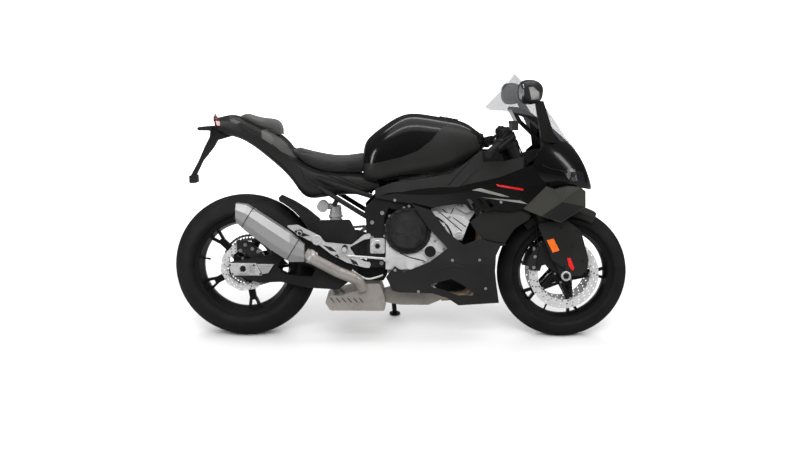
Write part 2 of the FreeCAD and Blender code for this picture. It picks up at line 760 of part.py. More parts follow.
def swingarm_pivot():
    pivot = place(pivot_shares, 0)
    reach = plate_inner + plate_thickness
    bolt = side_rod(pivot, -reach, reach, pivot_bolt_radius)
    ends = [side_rod(pivot, side * reach, side * (reach + cover_flange), pivot_nut_radius) for side in (-1, 1)]
    return fused([bolt] + ends)


rear_caliper_shares = [(-0.5216, 0.5398), (-0.4818, 0.5301), (-0.4612, 0.4988), (-0.4393, 0.4602),
    (-0.4557, 0.4241), (-0.4804, 0.4482), (-0.4997, 0.4819), (-0.5216, 0.4843)]
rear_caliper_bracket_shares = [(-0.4804, 0.506), (-0.4461, 0.4699), (-0.4393, 0.4096),
    (-0.4804, 0.3976)]
rear_caliper_inner_y = 68.0


def rear_caliper():
    body = slab(rear_caliper_shares, -rear_caliper_inner_y, -arm_rear_y)
    disc_outer_y = -rear_disc_inner - disc_thickness - caliper_slot_gap
    bracket = slab(rear_caliper_bracket_shares, disc_outer_y, -arm_rear_y)
    slot = side_rod(rear_axle, -rear_disc_inner + caliper_slot_gap, disc_outer_y,
                    rear_disc_radius + caliper_slot_gap)
    return fused([body, bracket]).cut(slot).cut(swingarm())


def rear_axle_bar():
    left = chain_line + chain_half_width + moving_gap + arm_left_thickness
    right = arm_rear_y + arm_thickness
    bar = axle_bar(rear_axle, -right - cover_flange, left + cover_flange, axle_bore_radius)
    nuts = [side_ring(rear_axle, -right - cover_flange, -right, nut_radius, axle_radius),
            side_ring(rear_axle, left, left + cover_flange, nut_radius, axle_radius)]
    return fused([bar] + nuts)


def front_axle_bar():
    reach = fork_half_track + axle_lug_length / 2
    bar = axle_bar(front_axle, -reach - cover_flange, reach + cover_flange, axle_bore_radius)
    nuts = [side_ring(front_axle, -reach - cover_flange, -reach, nut_radius, axle_radius),
            side_ring(front_axle, reach, reach + cover_flange, nut_radius, axle_radius)]
    return fused([bar] + nuts)


def rear_sprocket():
    half = sprocket_thickness / 2
    inner = hub_radius - flange_thickness
    ring = side_ring(rear_axle, chain_line - half, chain_line + half, rear_sprocket_radius, inner)
    carrier = side_ring(rear_axle, rear_hub_half_width, chain_line - half, hub_radius + flange_thickness, inner)
    return fused([ring, carrier])


def loop_band(big, small, big_radius, small_radius, y_from, y_to):
    gap = small - big
    distance = math.hypot(gap.x, gap.z)
    lean = math.atan2(gap.z, gap.x)
    spread = math.acos((big_radius - small_radius) / distance)
    top = lean + spread
    low = lean - spread

    def spot(centre, radius, angle):
        return vector(centre.x + radius * math.cos(angle), y_from, centre.z + radius * math.sin(angle))

    big_low = spot(big, big_radius, low)
    big_top = spot(big, big_radius, top)
    small_low = spot(small, small_radius, low)
    small_top = spot(small, small_radius, top)
    edges = [Part.LineSegment(small_low, big_low).toShape(),
             Part.Arc(big_low, spot(big, big_radius, lean + math.pi), big_top).toShape(),
             Part.LineSegment(big_top, small_top).toShape(),
             Part.Arc(small_top, spot(small, small_radius, lean), small_low).toShape()]
    return Part.Face(Part.Wire(edges)).extrude(across * (y_to - y_from))


def chain():
    small = place(sprocket_centre_share, 0)
    y_from = chain_line - chain_half_width
    y_to = chain_line + chain_half_width
    outer = loop_band(rear_axle, small, rear_sprocket_radius + moving_gap + chain_height,
                      front_sprocket_radius + moving_gap + chain_height, y_from, y_to)
    inner = loop_band(rear_axle, small, rear_sprocket_radius + moving_gap, front_sprocket_radius + moving_gap,
                      y_from - overrun, y_to + overrun)
    return outer.cut(inner)


def front_sprocket():
    small = place(sprocket_centre_share, 0)
    half = sprocket_thickness / 2
    wheel = side_rod(small, chain_line - half, chain_line + half, front_sprocket_radius + moving_gap)
    shaft = side_rod(small, gearbox_left, chain_line + chain_half_width, stem_radius)
    return fused([wheel, shaft])


# Bodywork
tank_rows_shares = [(-0.1318, 0.8434, 1.0193, 0.62), (-0.1098, 0.8434, 1.1084, 0.86),
    (-0.0686, 0.8434, 1.1663, 1), (0, 0.8614, 1.2301, 1), (0.0686, 0.8855, 1.2277, 0.98),
    (0.1373, 0.9181, 1.2084, 0.92), (0.199, 0.988, 1.1735, 0.82), (0.2402, 1.0458, 1.1277, 0.66)]
tank_side_shares = [(-0.151, 0.9639), (-0.0981, 0.9675), (-0.0144, 1.0036), (0.035, 1.0373),
    (0.0755, 1.0928), (0.1057, 1.1578), (0.1242, 1.1771), (0.1839, 1.1446), (0.2155, 1.1193),
    (0.2286, 1.0506), (0.2883, 1.0361), (0.2883, 1.3253), (-0.151, 1.3253)]
tank_power = 2.7
tank_waist_share = 0.4
cover_wall = 5.0
cover_zone_shares = [(-0.2745, 0.7229), (0.3432, 0.7229), (0.3432, 1.3253), (-0.2745, 1.3253)]


def tank_body(inset):
    return oval_loft(tank_rows_shares, tank_half_width, tank_power, inset, tank_waist_share)


def fuel_tank():
    upper = slab(tank_side_shares, -2 * tank_half_width, 2 * tank_half_width)
    return tank_body(0.0).common(upper).cut(seat_front())


def tank_cover(side):
    upper = slab(tank_side_shares, -2 * tank_half_width, 2 * tank_half_width)
    shell = tank_body(0.0).cut(tank_body(cover_wall)).cut(upper)
    half = slab(cover_zone_shares, side * overrun, side * 3 * tank_half_width)
    return shell.common(half).cut(seat_front())


seat_rows_shares = [(-0.3528, 1.0313, 1.0506, 0.78), (-0.3191, 0.9759, 1.0325, 0.92),
    (-0.269, 0.9325, 1.012, 1), (-0.2183, 0.9169, 0.9988, 1), (-0.1668, 0.9133, 1.0036, 0.96),
    (-0.1332, 0.9181, 1.0133, 0.82), (-0.103, 0.9446, 1.0072, 0.62)]
seat_power = 3.2


def seat_front():
    return oval_loft(seat_rows_shares, seat_half_width, seat_power)


def rider_seat():
    return seat_front().cut(tail_body(0.0))


tail_rows_shares = [(-0.5957, 1.1904, 1.2241, 0.34), (-0.5491, 1.106, 1.2193, 0.66),
    (-0.5134, 1.088, 1.2096, 0.84), (-0.4255, 0.9843, 1.1506, 1), (-0.3583, 0.8735, 1.0627, 1.02),
    (-0.3404, 0.8313, 1.0193, 1.03), (-0.3123, 0.7771, 0.9711, 1.04),
    (-0.2608, 0.7711, 0.9349, 1.02), (-0.1716, 0.7892, 0.9181, 1), (-0.1098, 0.8012, 0.8964, 0.96),
    (-0.0824, 0.8048, 0.8747, 0.9)]
tail_power = 3.0
pillion_rows_shares = [(-0.5161, 1.1928, 1.2169, 0.6), (-0.4736, 1.1566, 1.2145, 0.86),
    (-0.4255, 1.1229, 1.2, 0.94), (-0.4008, 1.1024, 1.1892, 0.92), (-0.3857, 1.0843, 1.1446, 0.8)]


def tail_body(inset):
    return oval_loft(tail_rows_shares, tail_half_width, tail_power, inset)


def pillion_pad():
    return oval_loft(pillion_rows_shares, tail_half_width, seat_power).cut(tail_body(0.0))


def tail_unit():
    return tail_body(0.0).cut(slab(lamp_shares, -tail_half_width, tail_half_width)).cut(tank_body(0.0))


lamp_shares = [(-0.6177, 1.1566), (-0.6177, 1.253), (-0.5834, 1.253), (-0.5752, 1.1566)]


def tail_light():
    return tail_body(0.0).common(slab(lamp_shares, -tail_half_width, tail_half_width))


plate_arm_shares = [(-0.5353, 1.1265), (-0.569, 1.1614), (-0.6376, 1.1518), (-0.6376, 1.1398),
    (-0.6102, 1.1301), (-0.6122, 1.0976), (-0.6273, 1.047), (-0.6465, 0.9699), (-0.6774, 0.8699),
    (-0.663, 0.8651), (-0.6356, 0.9651), (-0.6026, 1.0373), (-0.5889, 1.0795), (-0.5443, 1.1024)]
signal_shares = [(-0.6397, 1.1542), (-0.5985, 1.159), (-0.5985, 1.1398), (-0.6397, 1.1373)]
arm_half_width = 22.0
signal_reach = 34.0
signal_width = 78.0
signal_corner = 5.0
signal_bar_share = (-0.6108, 1.147)
lamp_block_shares = [(-0.6767, 0.8867), (-0.6534, 0.8892), (-0.652, 0.8458), (-0.6754, 0.8434)]
lamp_block_half_width = 34.0


def plate_holder():
    arm = slab(plate_arm_shares, -arm_half_width, arm_half_width)
    bar_centre = place(signal_bar_share, 0)
    cross = side_rod(bar_centre, -signal_reach, signal_reach, bar_radius / 2)
    lamp_block = slab(lamp_block_shares, -lamp_block_half_width, lamp_block_half_width, signal_corner)
    pieces = [arm, cross, lamp_block]
    for side in (-1, 1):
        block_end = side * (signal_reach + signal_width)
        pieces.append(slab(signal_shares, side * signal_reach, block_end, signal_corner))
    return fused(pieces).cut(tail_body(0.0))


nose_rows_shares = [(0.582, 0.8241, 0.8627, 0.26), (0.571, 0.8145, 0.9205, 0.42),
    (0.5463, 0.8, 1.0096, 0.58), (0.5079, 0.7855, 1.088, 0.74), (0.4598, 0.7735, 1.1614, 0.88),
    (0.4118, 0.7711, 1.2241, 0.97), (0.3569, 0.7711, 1.2771, 1)]
nose_outline_shares = [(0.5903, 0.8241), (0.5724, 0.9217), (0.5408, 1.0265), (0.5017, 1.0988),
    (0.4372, 1.2096), (0.4187, 1.2084), (0.4262, 1.1265), (0.4207, 1.0723), (0.3967, 1.0337),
    (0.385, 0.9735), (0.4118, 0.8916), (0.4516, 0.8434), (0.5319, 0.8434)]
nose_power = 2.3
nose_waist_share = 0.35
shell_wall = 4.0


def nose_body(inset):
    return oval_loft(nose_rows_shares, nose_half_width, nose_power, inset, nose_waist_share)


def nose_shell():
    return nose_body(0.0).cut(nose_body(shell_wall))


headlight_shares = [(0.4811, 0.9361), (0.5058, 0.9494), (0.5491, 0.9253), (0.5573, 0.8627),
    (0.5237, 0.8627), (0.4969, 0.894)]
headlight_inner = 34.0
intake_shares = [(0.4804, 0.8313), (0.4804, 0.8916), (0.6177, 0.8916), (0.6177, 0.8313)]
intake_half_width = 27.0
intake_corner = 4.0


def headlight_zone(side):
    return slab(headlight_shares, side * headlight_inner, side * nose_half_width)


def upper_cowl():
    outline = slab(nose_outline_shares, -nose_half_width - overrun, nose_half_width + overrun)
    cowl = nose_shell().common(outline)
    intake = slab(intake_shares, -intake_half_width, intake_half_width, intake_corner)
    return cowl.cut(headlight_zone(-1)).cut(headlight_zone(1)).cut(intake)


def headlights():
    outline = slab(nose_outline_shares, -nose_half_width - overrun, nose_half_width + overrun)
    shell = nose_shell().common(outline)
    return Part.makeCompound([shell.common(headlight_zone(side)) for side in (-1, 1)])


carrier_radius = 10.0
carrier_inset = 37.0
carrier_low_along = head_low + carrier_inset
carrier_high_along = head_high - carrier_inset
carrier_forward = 190.0
carrier_half_width = 26.0
instrument_half_width = 85.0
instrument_shares = [(0.3487, 1.1867), (0.324, 1.2675), (0.3322, 1.2747), (0.3596, 1.1928)]


def front_carrier():
    tip_along = carrier_high_along - carrier_half_width
    beam_side = [(carrier_low_along, 0), (carrier_high_along, 0), (tip_along, carrier_forward),
                 (tip_along - 2 * carrier_radius, carrier_forward)]
    beam = fork_slab(beam_side, -carrier_half_width, carrier_half_width)
    tip = fork_point(tip_along - carrier_radius, carrier_forward, 0)
    cross = side_rod(tip, -nose_half_width, nose_half_width, carrier_radius)
    arm = rod(tip, place(instrument_shares[3], 0), carrier_radius)
    whole = fused([beam, cross, arm]).cut(instrument())
    whole = whole.cut(rod(fork_point(0, 0, 0), fork_point(fork_length, 0, 0), head_tube_radius))
    room_side = [(0, -overrun), (2 * fork_length, -overrun), (2 * fork_length, carrier_forward),
                 (0, carrier_forward)]
    room = fork_slab(room_side, -2 * carrier_half_width, 2 * carrier_half_width)
    return whole.common(fused([nose_body(shell_wall), room]))


def instrument():
    return slab(instrument_shares, -instrument_half_width, instrument_half_width)


screen_rows_shares = [(0.5305, 1.0458, 1.0578, 0.4), (0.4804, 1.0904, 1.1735, 0.66),
    (0.3933, 1.2193, 1.3614, 0.94), (0.3404, 1.241, 1.4554, 1), (0.2828, 1.241, 1.5542, 1.04),
    (0.2196, 1.241, 1.6386, 1.06)]
screen_half_width = 158.0
screen_wall = 3.5
screen_outline_shares = [(0.5422, 1.0241), (0.5422, 1.0843), (0.4365, 1.3253), (0.3706, 1.4639),
    (0.3404, 1.4614), (0.2965, 1.3723), (0.2553, 1.3036), (0.2388, 1.2723), (0.269, 1.2458),
    (0.2883, 1.2578), (0.3933, 1.2241), (0.4736, 1.0988), (0.5216, 1.0434)]


def windscreen():
    wires = []
    for x_share, low_share, high_share, width_share in screen_rows_shares:
        x = x_share * wheelbase
        low = low_share * seat_height
        rise = (high_share - low_share) * seat_height
        half = width_share * screen_half_width
        points = []
        for step in range(-6, 7):
            share = step / 6
            points.append(vector(x, share * half, low + rise * (1 - abs(share) ** 2.2)))
        curve = Part.BSplineCurve()
        curve.interpolate(points)
        wires.append(Part.Wire(curve.toShape()))
    sheet = Part.makeLoft(wires, False, False)
    solid = sheet.Faces[0].extrude(vector(-screen_wall * 0.7, 0, -screen_wall * 0.7))
    trim = slab(screen_outline_shares, -2 * screen_half_width, 2 * screen_half_width)
    return solid.common(trim).cut(nose_body(0.0))


mirror_shares = (0.3507, 1.3518)
mirror_height = 104.0
mirror_depth = 104.0
mirror_width = 176.0
stalk_thickness = 30.0
mirror_front_share = 0.62
mirror_curve_share = 0.8
mirror_rows_share = [(0.0, 0.35, 0.4), (0.12, 0.8, 0.85), (0.45, 1.0, 1.0), (0.8, 0.92, 0.88),
    (1.0, 0.55, 0.5)]
stalk_tip_shares = [(0.3981, 1.306), (0.3734, 1.3108)]
stalk_foot_shares = [(0.4585, 1.0867), (0.4146, 1.0867)]
stalk_root_share = 0.8


def mirror(side):
    centre = place(mirror_shares, 0)
    wires = []
    for along, tall, deep in mirror_rows_share:
        y = side * (mirror_half_width - mirror_width * (1 - along))
        points = []
        for step in range(12):
            angle = 2 * math.pi * step / 12
            c = math.cos(angle)
            s = math.sin(angle)
            bulge = mirror_depth * (mirror_front_share if c > 0 else 1 - mirror_front_share)
            ahead = math.copysign(abs(c) ** mirror_curve_share, c)
            rise = math.copysign(abs(s) ** mirror_curve_share, s)
            points.append(vector(centre.x + bulge * deep * ahead, y, centre.z + mirror_height / 2 * tall * rise))
        curve = Part.BSplineCurve()
        curve.interpolate(points, PeriodicFlag=True)
        wires.append(Part.Wire(curve.toShape()))
    shell = Part.makeLoft(wires, True, False)
    inner_y = nose_half_width * stalk_root_share
    outer_y = mirror_half_width - mirror_width / 2
    foot_a, foot_b = [place(shares, side * inner_y) for shares in stalk_foot_shares]
    tip_a, tip_b = [place(shares, side * outer_y) for shares in stalk_tip_shares]
    inward = across * (-side * stalk_thickness)
    base = Part.makePolygon([foot_a, foot_b, foot_b + inward, foot_a + inward, foot_a])
    tip = Part.makePolygon([tip_a, tip_b, tip_b + inward, tip_a + inward, tip_a])
    stalk = Part.makeLoft([base, tip], True, True)
    return fused([shell, stalk]).cut(nose_body(0.0)).cut(windscreen())


winglet_corners_shares = {
    'rear_top': (0.4242, 0.8578, 0.86), 'rear_low': (0.3542, 0.7361, 0.86),
        'mid_low': (0.4091, 0.6988, 0.97),
    'ridge': (0.4715, 0.7807, 1), 'top': (0.4502, 0.841, 0.95), 'top_mid': (0.49, 0.8578, 0.9),
    'top_front': (0.5319, 0.8506, 0.8), 'front_top': (0.5504, 0.8289, 0.72),
        'front_low': (0.5511, 0.7446, 0.74),
    'low_front': (0.5113, 0.7036, 0.84), 'low_mid': (0.4729, 0.6614, 0.86)}
winglet_faces = [
    ('rear_top', 'rear_low', 'mid_low', 'ridge', 'top'), ('top', 'ridge', 'top_mid'),
    ('top_mid', 'ridge', 'top_front'), ('top_front', 'ridge', 'front_top'), ('front_top', 'ridge',
        'front_low'),
    ('ridge', 'mid_low', 'low_mid'), ('ridge', 'low_mid', 'low_front'), ('ridge', 'low_front',
        'front_low')]
winglet_depth = 44.0


def winglet(side):
    corners = {}
    for name, (x, z, width) in winglet_corners_shares.items():
        corners[name] = vector(x * wheelbase, side * width * winglet_half_width, z * seat_height)
    panel = faceted_panel(corners, winglet_faces, -side * winglet_depth)
    return panel.cut(nose_body(0.0))


side_stations_shares = [
    (-0.0995, [(0.8434, 0.8), (0.8096, 0.84), (0.7711, 0.8)]),
    (0, [(0.8675, 0.86), (0.8072, 0.93), (0.747, 0.88)]),
    (0.1098, [(0.8916, 0.92), (0.8096, 1), (0.7229, 0.95)]),
    (0.2196, [(0.9398, 0.94), (0.8313, 1.02), (0.7229, 0.98)]),
    (0.3226, [(1, 0.94), (0.8494, 1.03), (0.6988, 0.99)]),
    (0.4255, [(1.0602, 0.86), (0.8675, 0.98), (0.6747, 0.98)])]
side_outline_shares = [(-0.0947, 0.7928), (-0.0638, 0.8024), (0.0357, 0.8349), (0.0975, 0.8458),
    (0.1558, 0.8494), (0.2025, 0.8711), (0.2807, 0.9012), (0.385, 0.9711), (0.4104, 0.894),
    (0.4502, 0.841), (0.4242, 0.8566), (0.3542, 0.7361), (0.315, 0.7193), (0.2711, 0.7277),
    (0.2183, 0.706), (0.2032, 0.7084), (0.1798, 0.7566), (0.1476, 0.7566), (0.0803, 0.7373),
    (0.057, 0.7482), (-0.094, 0.7831)]
gill_shares = [[(0.1839, 0.7855), (0.199, 0.7855), (0.2203, 0.7265), (0.208, 0.7217)],
    [(0.2121, 0.7855), (0.2258, 0.7855), (0.2457, 0.7361), (0.2334, 0.7301)], [(0.2395, 0.7807),
    (0.2526, 0.7783), (0.269, 0.747), (0.2567, 0.7386)]]
trim_outline_shares = [(-0.0947, 0.7904), (-0.0638, 0.8024), (0.0357, 0.8349), (0.0975, 0.8458),
    (0.1558, 0.8494), (0.2025, 0.8711), (0.2807, 0.9012), (0.385, 0.9735), (0.3967, 1.0337),
    (0.3596, 1.0145), (0.2951, 0.9867), (0.2334, 0.9831), (0.2286, 1.0458), (0.1359, 0.9157),
    (-0.0412, 0.8675), (-0.0947, 0.8313)]


boss_radius = 9.0
boss_depth = 60.0
side_boss_shares = [(-0.0412, 0.7904), (0.0618, 0.7892), (0.2265, 0.8506)]
lower_boss_shares = [(0.1455, 0.5494), (0.1373, 0.4217)]


def bosses(places, stations, seat_y):
    body = skin_panel(stations, fairing_half_width, boss_depth)
    pieces = []
    for shares in places:
        pieces.append(side_rod(place(shares, 0), -seat_y, -2 * fairing_half_width, boss_radius).common(body))
    return pieces


def side_fairing():
    panel = skin_panel(side_stations_shares, fairing_half_width, shell_wall)
    panel = panel.common(slab(side_outline_shares, -2 * fairing_half_width, 0))
    for gill in gill_shares:
        panel = panel.cut(slab(gill, -2 * fairing_half_width, 0))
    panel = fused([panel] + bosses(side_boss_shares, side_stations_shares, spar_inner + spar_thickness))
    return panel.cut(nose_body(0.0)).cut(winglet(-1))


trim_stations_shares = [
    (-0.103, [(0.8675, 0.72), (0.7711, 0.8)]), (0, [(0.9398, 0.78), (0.8193, 0.9)]),
    (0.1098, [(1, 0.82), (0.8313, 0.95)]), (0.2196, [(1.0602, 0.84), (0.8675, 0.98)]),
    (0.3226, [(1.0602, 0.86), (0.8916, 0.99)]), (0.4255, [(1.0843, 0.8), (0.9398, 0.93)])]


def upper_trim():
    panel = skin_panel(trim_stations_shares, fairing_half_width, shell_wall)
    panel = panel.common(slab(trim_outline_shares, -2 * fairing_half_width, 0))
    return panel.cut(nose_body(0.0)).cut(side_fairing())


lower_stations_shares = [
    (-0.0686, [(0.4578, 0.9), (0.3614, 0.9), (0.259, 0.8)]),
    (0.0275, [(0.7711, 0.98), (0.506, 0.96), (0.241, 0.78)]),
    (0.1235, [(0.7711, 1), (0.4578, 0.98), (0.1928, 0.7)]),
    (0.2196, [(0.7711, 1), (0.4337, 0.98), (0.1807, 0.56)]),
    (0.3054, [(0.7711, 0.96), (0.4337, 0.92), (0.1807, 0.44)])]
lower_outline_shares = [(0.0185, 0.7566), (0.0769, 0.7229), (0.1304, 0.6024), (0.1778, 0.5386),
    (0.2265, 0.5735), (0.2924, 0.5398), (0.2766, 0.4795), (0.2759, 0.3928), (0.2841, 0.306),
    (0.2958, 0.2024), (0.1675, 0.1952), (0.1318, 0.2386), (0.0851, 0.2663), (-0.0357, 0.2723),
    (-0.059, 0.3566), (-0.0329, 0.4181), (-0.0034, 0.3831), (0.0728, 0.4434), (0.1283, 0.5193),
    (0.0714, 0.6241)]
belly_corner = 6.0
belly_window_shares = [(0.0679, 0.312), (0.1421, 0.3494), (0.175, 0.3169), (0.2244, 0.2506),
    (0.1654, 0.2542), (0.1229, 0.2843)]


def lower_fairing():
    panel = skin_panel(lower_stations_shares, fairing_half_width, shell_wall)
    panel = panel.common(slab(lower_outline_shares, -2 * fairing_half_width, 0))
    panel = panel.cut(slab(belly_window_shares, -2 * fairing_half_width, 0, belly_corner))
    return fused([panel] + bosses(lower_boss_shares, lower_stations_shares, cover_seat))


stand_notch_shares = [(-0.0824, 0.2169), (-0.0824, 0.4578), (0.0069, 0.3976), (0.048, 0.3012),
    (0.0412, 0.2169)]


def stand_notch():
    return slab(stand_notch_shares, overrun, 2 * fairing_half_width)


radiator_low = 198.0
radiator_high = 446.0
radiator_low_back = 295.0
radiator_high_back = 111.0
radiator_thickness = 24.0
radiator_half_width = 168.0
shroud_shares = [(0.1963, 0.659), (0.2265, 0.7036), (0.2574, 0.7253), (0.2876, 0.7494),
    (0.3432, 0.7349), (0.3569, 0.7205), (0.3816, 0.6964), (0.3768, 0.6771), (0.3342, 0.6265),
    (0.313, 0.5711), (0.3047, 0.5494), (0.2649, 0.5578), (0.234, 0.5711), (0.2121, 0.6169)]
shroud_wall = 4.0
shroud_stand_out = 12.0


def radiator():
    core = [(radiator_low, -radiator_low_back), (radiator_low, -radiator_low_back + radiator_thickness),
            (radiator_high, -radiator_high_back),
                (radiator_high, -radiator_high_back - radiator_thickness)]
    return fork_slab(core, -radiator_half_width, radiator_half_width)


# Dark panels beside the radiator, carried by bosses on its side tanks
def radiator_shroud(side):
    inner = side * (radiator_half_width + shroud_stand_out)
    panel = slab(shroud_shares, inner, inner + side * shroud_wall)
    pieces = [panel]
    low = fork_point(radiator_low, -radiator_low_back + radiator_thickness / 2, 0)
    high = fork_point(radiator_high, -radiator_high_back - radiator_thickness / 2, 0)
    for share in boss_places_share:
        spot = low + (high - low) * share
        pieces.append(side_rod(spot, side * radiator_half_width, inner, boss_radius))
    return fused(pieces)


boss_places_share = (0.62, 0.8)
muffler_centre_y = -212.0
muffler_half_width = 58.0
muffler_rows_shares = [(-0.512, 0.6566, 0.7566, 0.85), (-0.4804, 0.6084, 0.7494, 1),
    (-0.4118, 0.5181, 0.6723, 1.05), (-0.35, 0.4482, 0.6, 1), (-0.3075, 0.4482, 0.5373, 0.66)]


def muffler():
    wires = []
    for x_share, low_share, high_share, width_share in muffler_rows_shares:
        x = x_share * wheelbase
        low = low_share * seat_height
        high = high_share * seat_height
        half = width_share * muffler_half_width
        rise = high - low
        ring = [(-half, low + rise * 0.3), (-half * 0.55, low), (half * 0.55, low),
            (half, low + rise * 0.3),
                (half, low + rise * 0.7), (half * 0.55, high), (-half * 0.55, high),
                    (-half, low + rise * 0.7)]
        points = [vector(x, muffler_centre_y + y, z) for y, z in ring]
        wires.append(Part.makePolygon(points + points[:1]))
    return Part.makeLoft(wires, True, True)


pipe_radius = 25.0
pipe_wall = 1.6
header_radius = 19.0
link_pipe_shares = [(-0.3061, 0.4916), (-0.2745, 0.4518), (-0.2059, 0.3855), (-0.1476, 0.3434),
    (-0.1304, 0.2892)]


def link_pipe():
    points = [place(shares, y) for shares, y in zip(link_pipe_shares, link_pipe_offsets())]
    return bent_tube(points, pipe_radius, 2 * pipe_radius).cut(muffler())


def link_pipe_offsets():
    far = muffler_centre_y
    return [far, far * 0.98, far * 0.9, far * 0.83, far * 0.7]


collector_shares = [(-0.2485, 0.212), (-0.2306, 0.1663), (-0.0631, 0.1663), (-0.0583, 0.2048),
    (-0.0679, 0.2675), (-0.0776, 0.3157), (-0.1338, 0.3157), (-0.1462, 0.2747), (-0.2018, 0.247),
    (-0.2237, 0.2506)]
collector_half_width = 150.0
canister_shares = [(-0.0755, 0.247), (-0.0755, 0.1988), (-0.0364, 0.188), (-0.0137, 0.1807),
    (0.0755, 0.1807), (0.1167, 0.212), (0.1263, 0.2361), (0.0755, 0.259), (-0.0412, 0.2627)]
canister_half_width = 60.0
collector_stand_room = 24.0
collector_corner = 12.0
canister_corner = 10.0


def collector_box():
    left = collector_half_width - collector_stand_room
    box = slab(collector_shares, -collector_half_width, left, collector_corner)
    can = slab(canister_shares, -canister_half_width, canister_half_width, canister_corner)
    return fused([box, can]).cut(link_pipe())


header_shares = [(0.2032, 0.7952), (0.2416, 0.7229), (0.2334, 0.3976), (0.2059, 0.241),
    (0.1167, 0.2241)]
header_pull_shares = [1.0, 1.0, 0.9, 0.7, 0.5]


def exhaust_headers():
    pipes = []
    for port in (-3, -1, 1, 3):
        y = port * engine_half_width / 4
        points = [place(shares, y * pull) for shares, pull in zip(header_shares, header_pull_shares)]
        pipes.append(bent_tube(points, header_radius, 3 * header_radius))
    return fused(pipes).cut(collector_box()).cut(engine_block()).cut(radiator())


hugger_outline_shares = [(-0.394, 0.7747), (-0.3507, 0.7398), (-0.3102, 0.6952), (-0.2725, 0.641),
    (-0.2498, 0.5614), (-0.2622, 0.5229), (-0.28, 0.5663), (-0.3288, 0.6084), (-0.3603, 0.6651),
    (-0.3892, 0.7361)]
hugger_tab_shares = [(-0.3102, 0.5301), (-0.2883, 0.5301), (-0.278, 0.6265), (-0.302, 0.6265)]
hugger_half_width = 91.0


def rear_hugger():
    whole = slab(hugger_outline_shares, -hugger_half_width, hugger_half_width)
    hollow = slab(hugger_outline_shares, -hugger_half_width + fender_wall, hugger_half_width - fender_wall)
    hollow = hollow.translated(vector(-fender_wall / 2, 0, -fender_wall))
    tab = slab(hugger_tab_shares, -hugger_half_width, -arm_rear_y)
    whole = fused([whole.cut(hollow), tab])
    clear = side_rod(rear_axle, -rear_tyre_width, rear_tyre_width, rear_tyre_radius + fender_gap)
    return whole.cut(clear).cut(swingarm())


shock_top_shares = (-0.2183, 0.7181)
shock_low_shares = (-0.221, 0.4819)
flask_share = (-0.2594, 0.7205)
spring_top_share = 0.5
spring_low_share = 0.72
shock_radius = 26.0
spring_radius = 34.0


def shock():
    top = place(shock_top_shares, 0)
    low = place(shock_low_shares, 0)
    along = (low - top).normalize()
    length = (low - top).Length
    spring_top = top + along * (length * spring_top_share)
    spring_low = top + along * (length * spring_low_share)
    body = rod(top, spring_top, shock_radius)
    spring = rod(spring_top, spring_low, spring_radius)
    shaft = rod(top, low, stem_radius)
    flask_centre = place(flask_share, 0)
    flask = side_rod(flask_centre, -spring_radius, spring_radius, shock_radius)
    neck = rod(flask_centre, top, stem_radius)
    return fused([body, spring, shaft, flask, neck]).cut(swingarm())


subframe_radius = 11.0
rail_bend = 6.0
rail_tail_share = 0.8
rail_cross_share = (-0.2183, 0.7446)
rail_shares = [[(-0.103, 0.7892), (-0.2059, 0.8434), (-0.2951, 0.8976)], [(-0.1153, 0.6747),
    (-0.2059, 0.7711), (-0.2883, 0.8554)]]


def subframe():
    rails = []
    for side in (-1, 1):
        y = side * (plate_inner + plate_thickness / 2)
        tail_y = side * tail_half_width * rail_tail_share
        for front, middle, rear in rail_shares:
            rails.append(bent_tube([place(front, y), place(middle, y), place(rear, tail_y)],
                                   subframe_radius, rail_bend * subframe_radius))
    cross = side_rod(place(rail_cross_share, 0), -plate_inner, plate_inner, subframe_radius)
    return fused(rails + [cross]).cut(tail_body(0.0)).cut(frame()).cut(shock())


bracket_shares = [(-0.1084, 0.5928), (-0.127, 0.588), (-0.1647, 0.5325), (-0.1997, 0.5373),
    (-0.2457, 0.5446), (-0.267, 0.5831), (-0.3308, 0.6386), (-0.3638, 0.6337), (-0.3555, 0.6193),
    (-0.3226, 0.5783), (-0.2608, 0.5253), (-0.2265, 0.4795), (-0.1798, 0.4361), (-0.127, 0.4096),
    (-0.1084, 0.4072), (-0.1084, 0.4386), (-0.127, 0.4434), (-0.1551, 0.4771), (-0.1716, 0.5181),
    (-0.127, 0.5614), (-0.1084, 0.5663)]
bracket_thickness = 9.0
bracket_y = 172.0
bracket_corner = 7.0
peg_length = 82.0
peg_radius = 11.0
peg_shares = (-0.1853, 0.5181)
rear_peg_shares = (-0.3226, 0.6)
mount_shares = [(-0.1139, 0.5783), (-0.1139, 0.4241)]
pedal_tip_shares = [(-0.0618, 0.4578), (-0.0549, 0.506)]
pedal_root_share = (-0.1798, 0.4723)


def footrest(side):
    plate = slab(bracket_shares, side * bracket_y, side * (bracket_y + bracket_thickness), bracket_corner)
    outer = side * (bracket_y + bracket_thickness)
    peg = side_rod(place(peg_shares, 0), outer, outer + side * peg_length, peg_radius)
    rear_peg = side_rod(place(rear_peg_shares, 0), outer, outer + side * peg_length * 0.6, peg_radius)
    inner_edge = side * (plate_inner + plate_thickness)
    mounts = [side_rod(place(shares, 0), inner_edge, side * bracket_y, peg_radius)
              for shares in mount_shares]
    pedal_end = place(pedal_tip_shares[0] if side < 0 else pedal_tip_shares[1], 0)
    pedal = rod(place(pedal_root_share, outer), vector(pedal_end.x, outer, pedal_end.z), peg_radius / 2)
    toe = side_rod(pedal_end, outer, outer + side * 3 * peg_radius, peg_radius * 0.7)
    return fused([plate, peg, rear_peg, pedal, toe] + mounts)


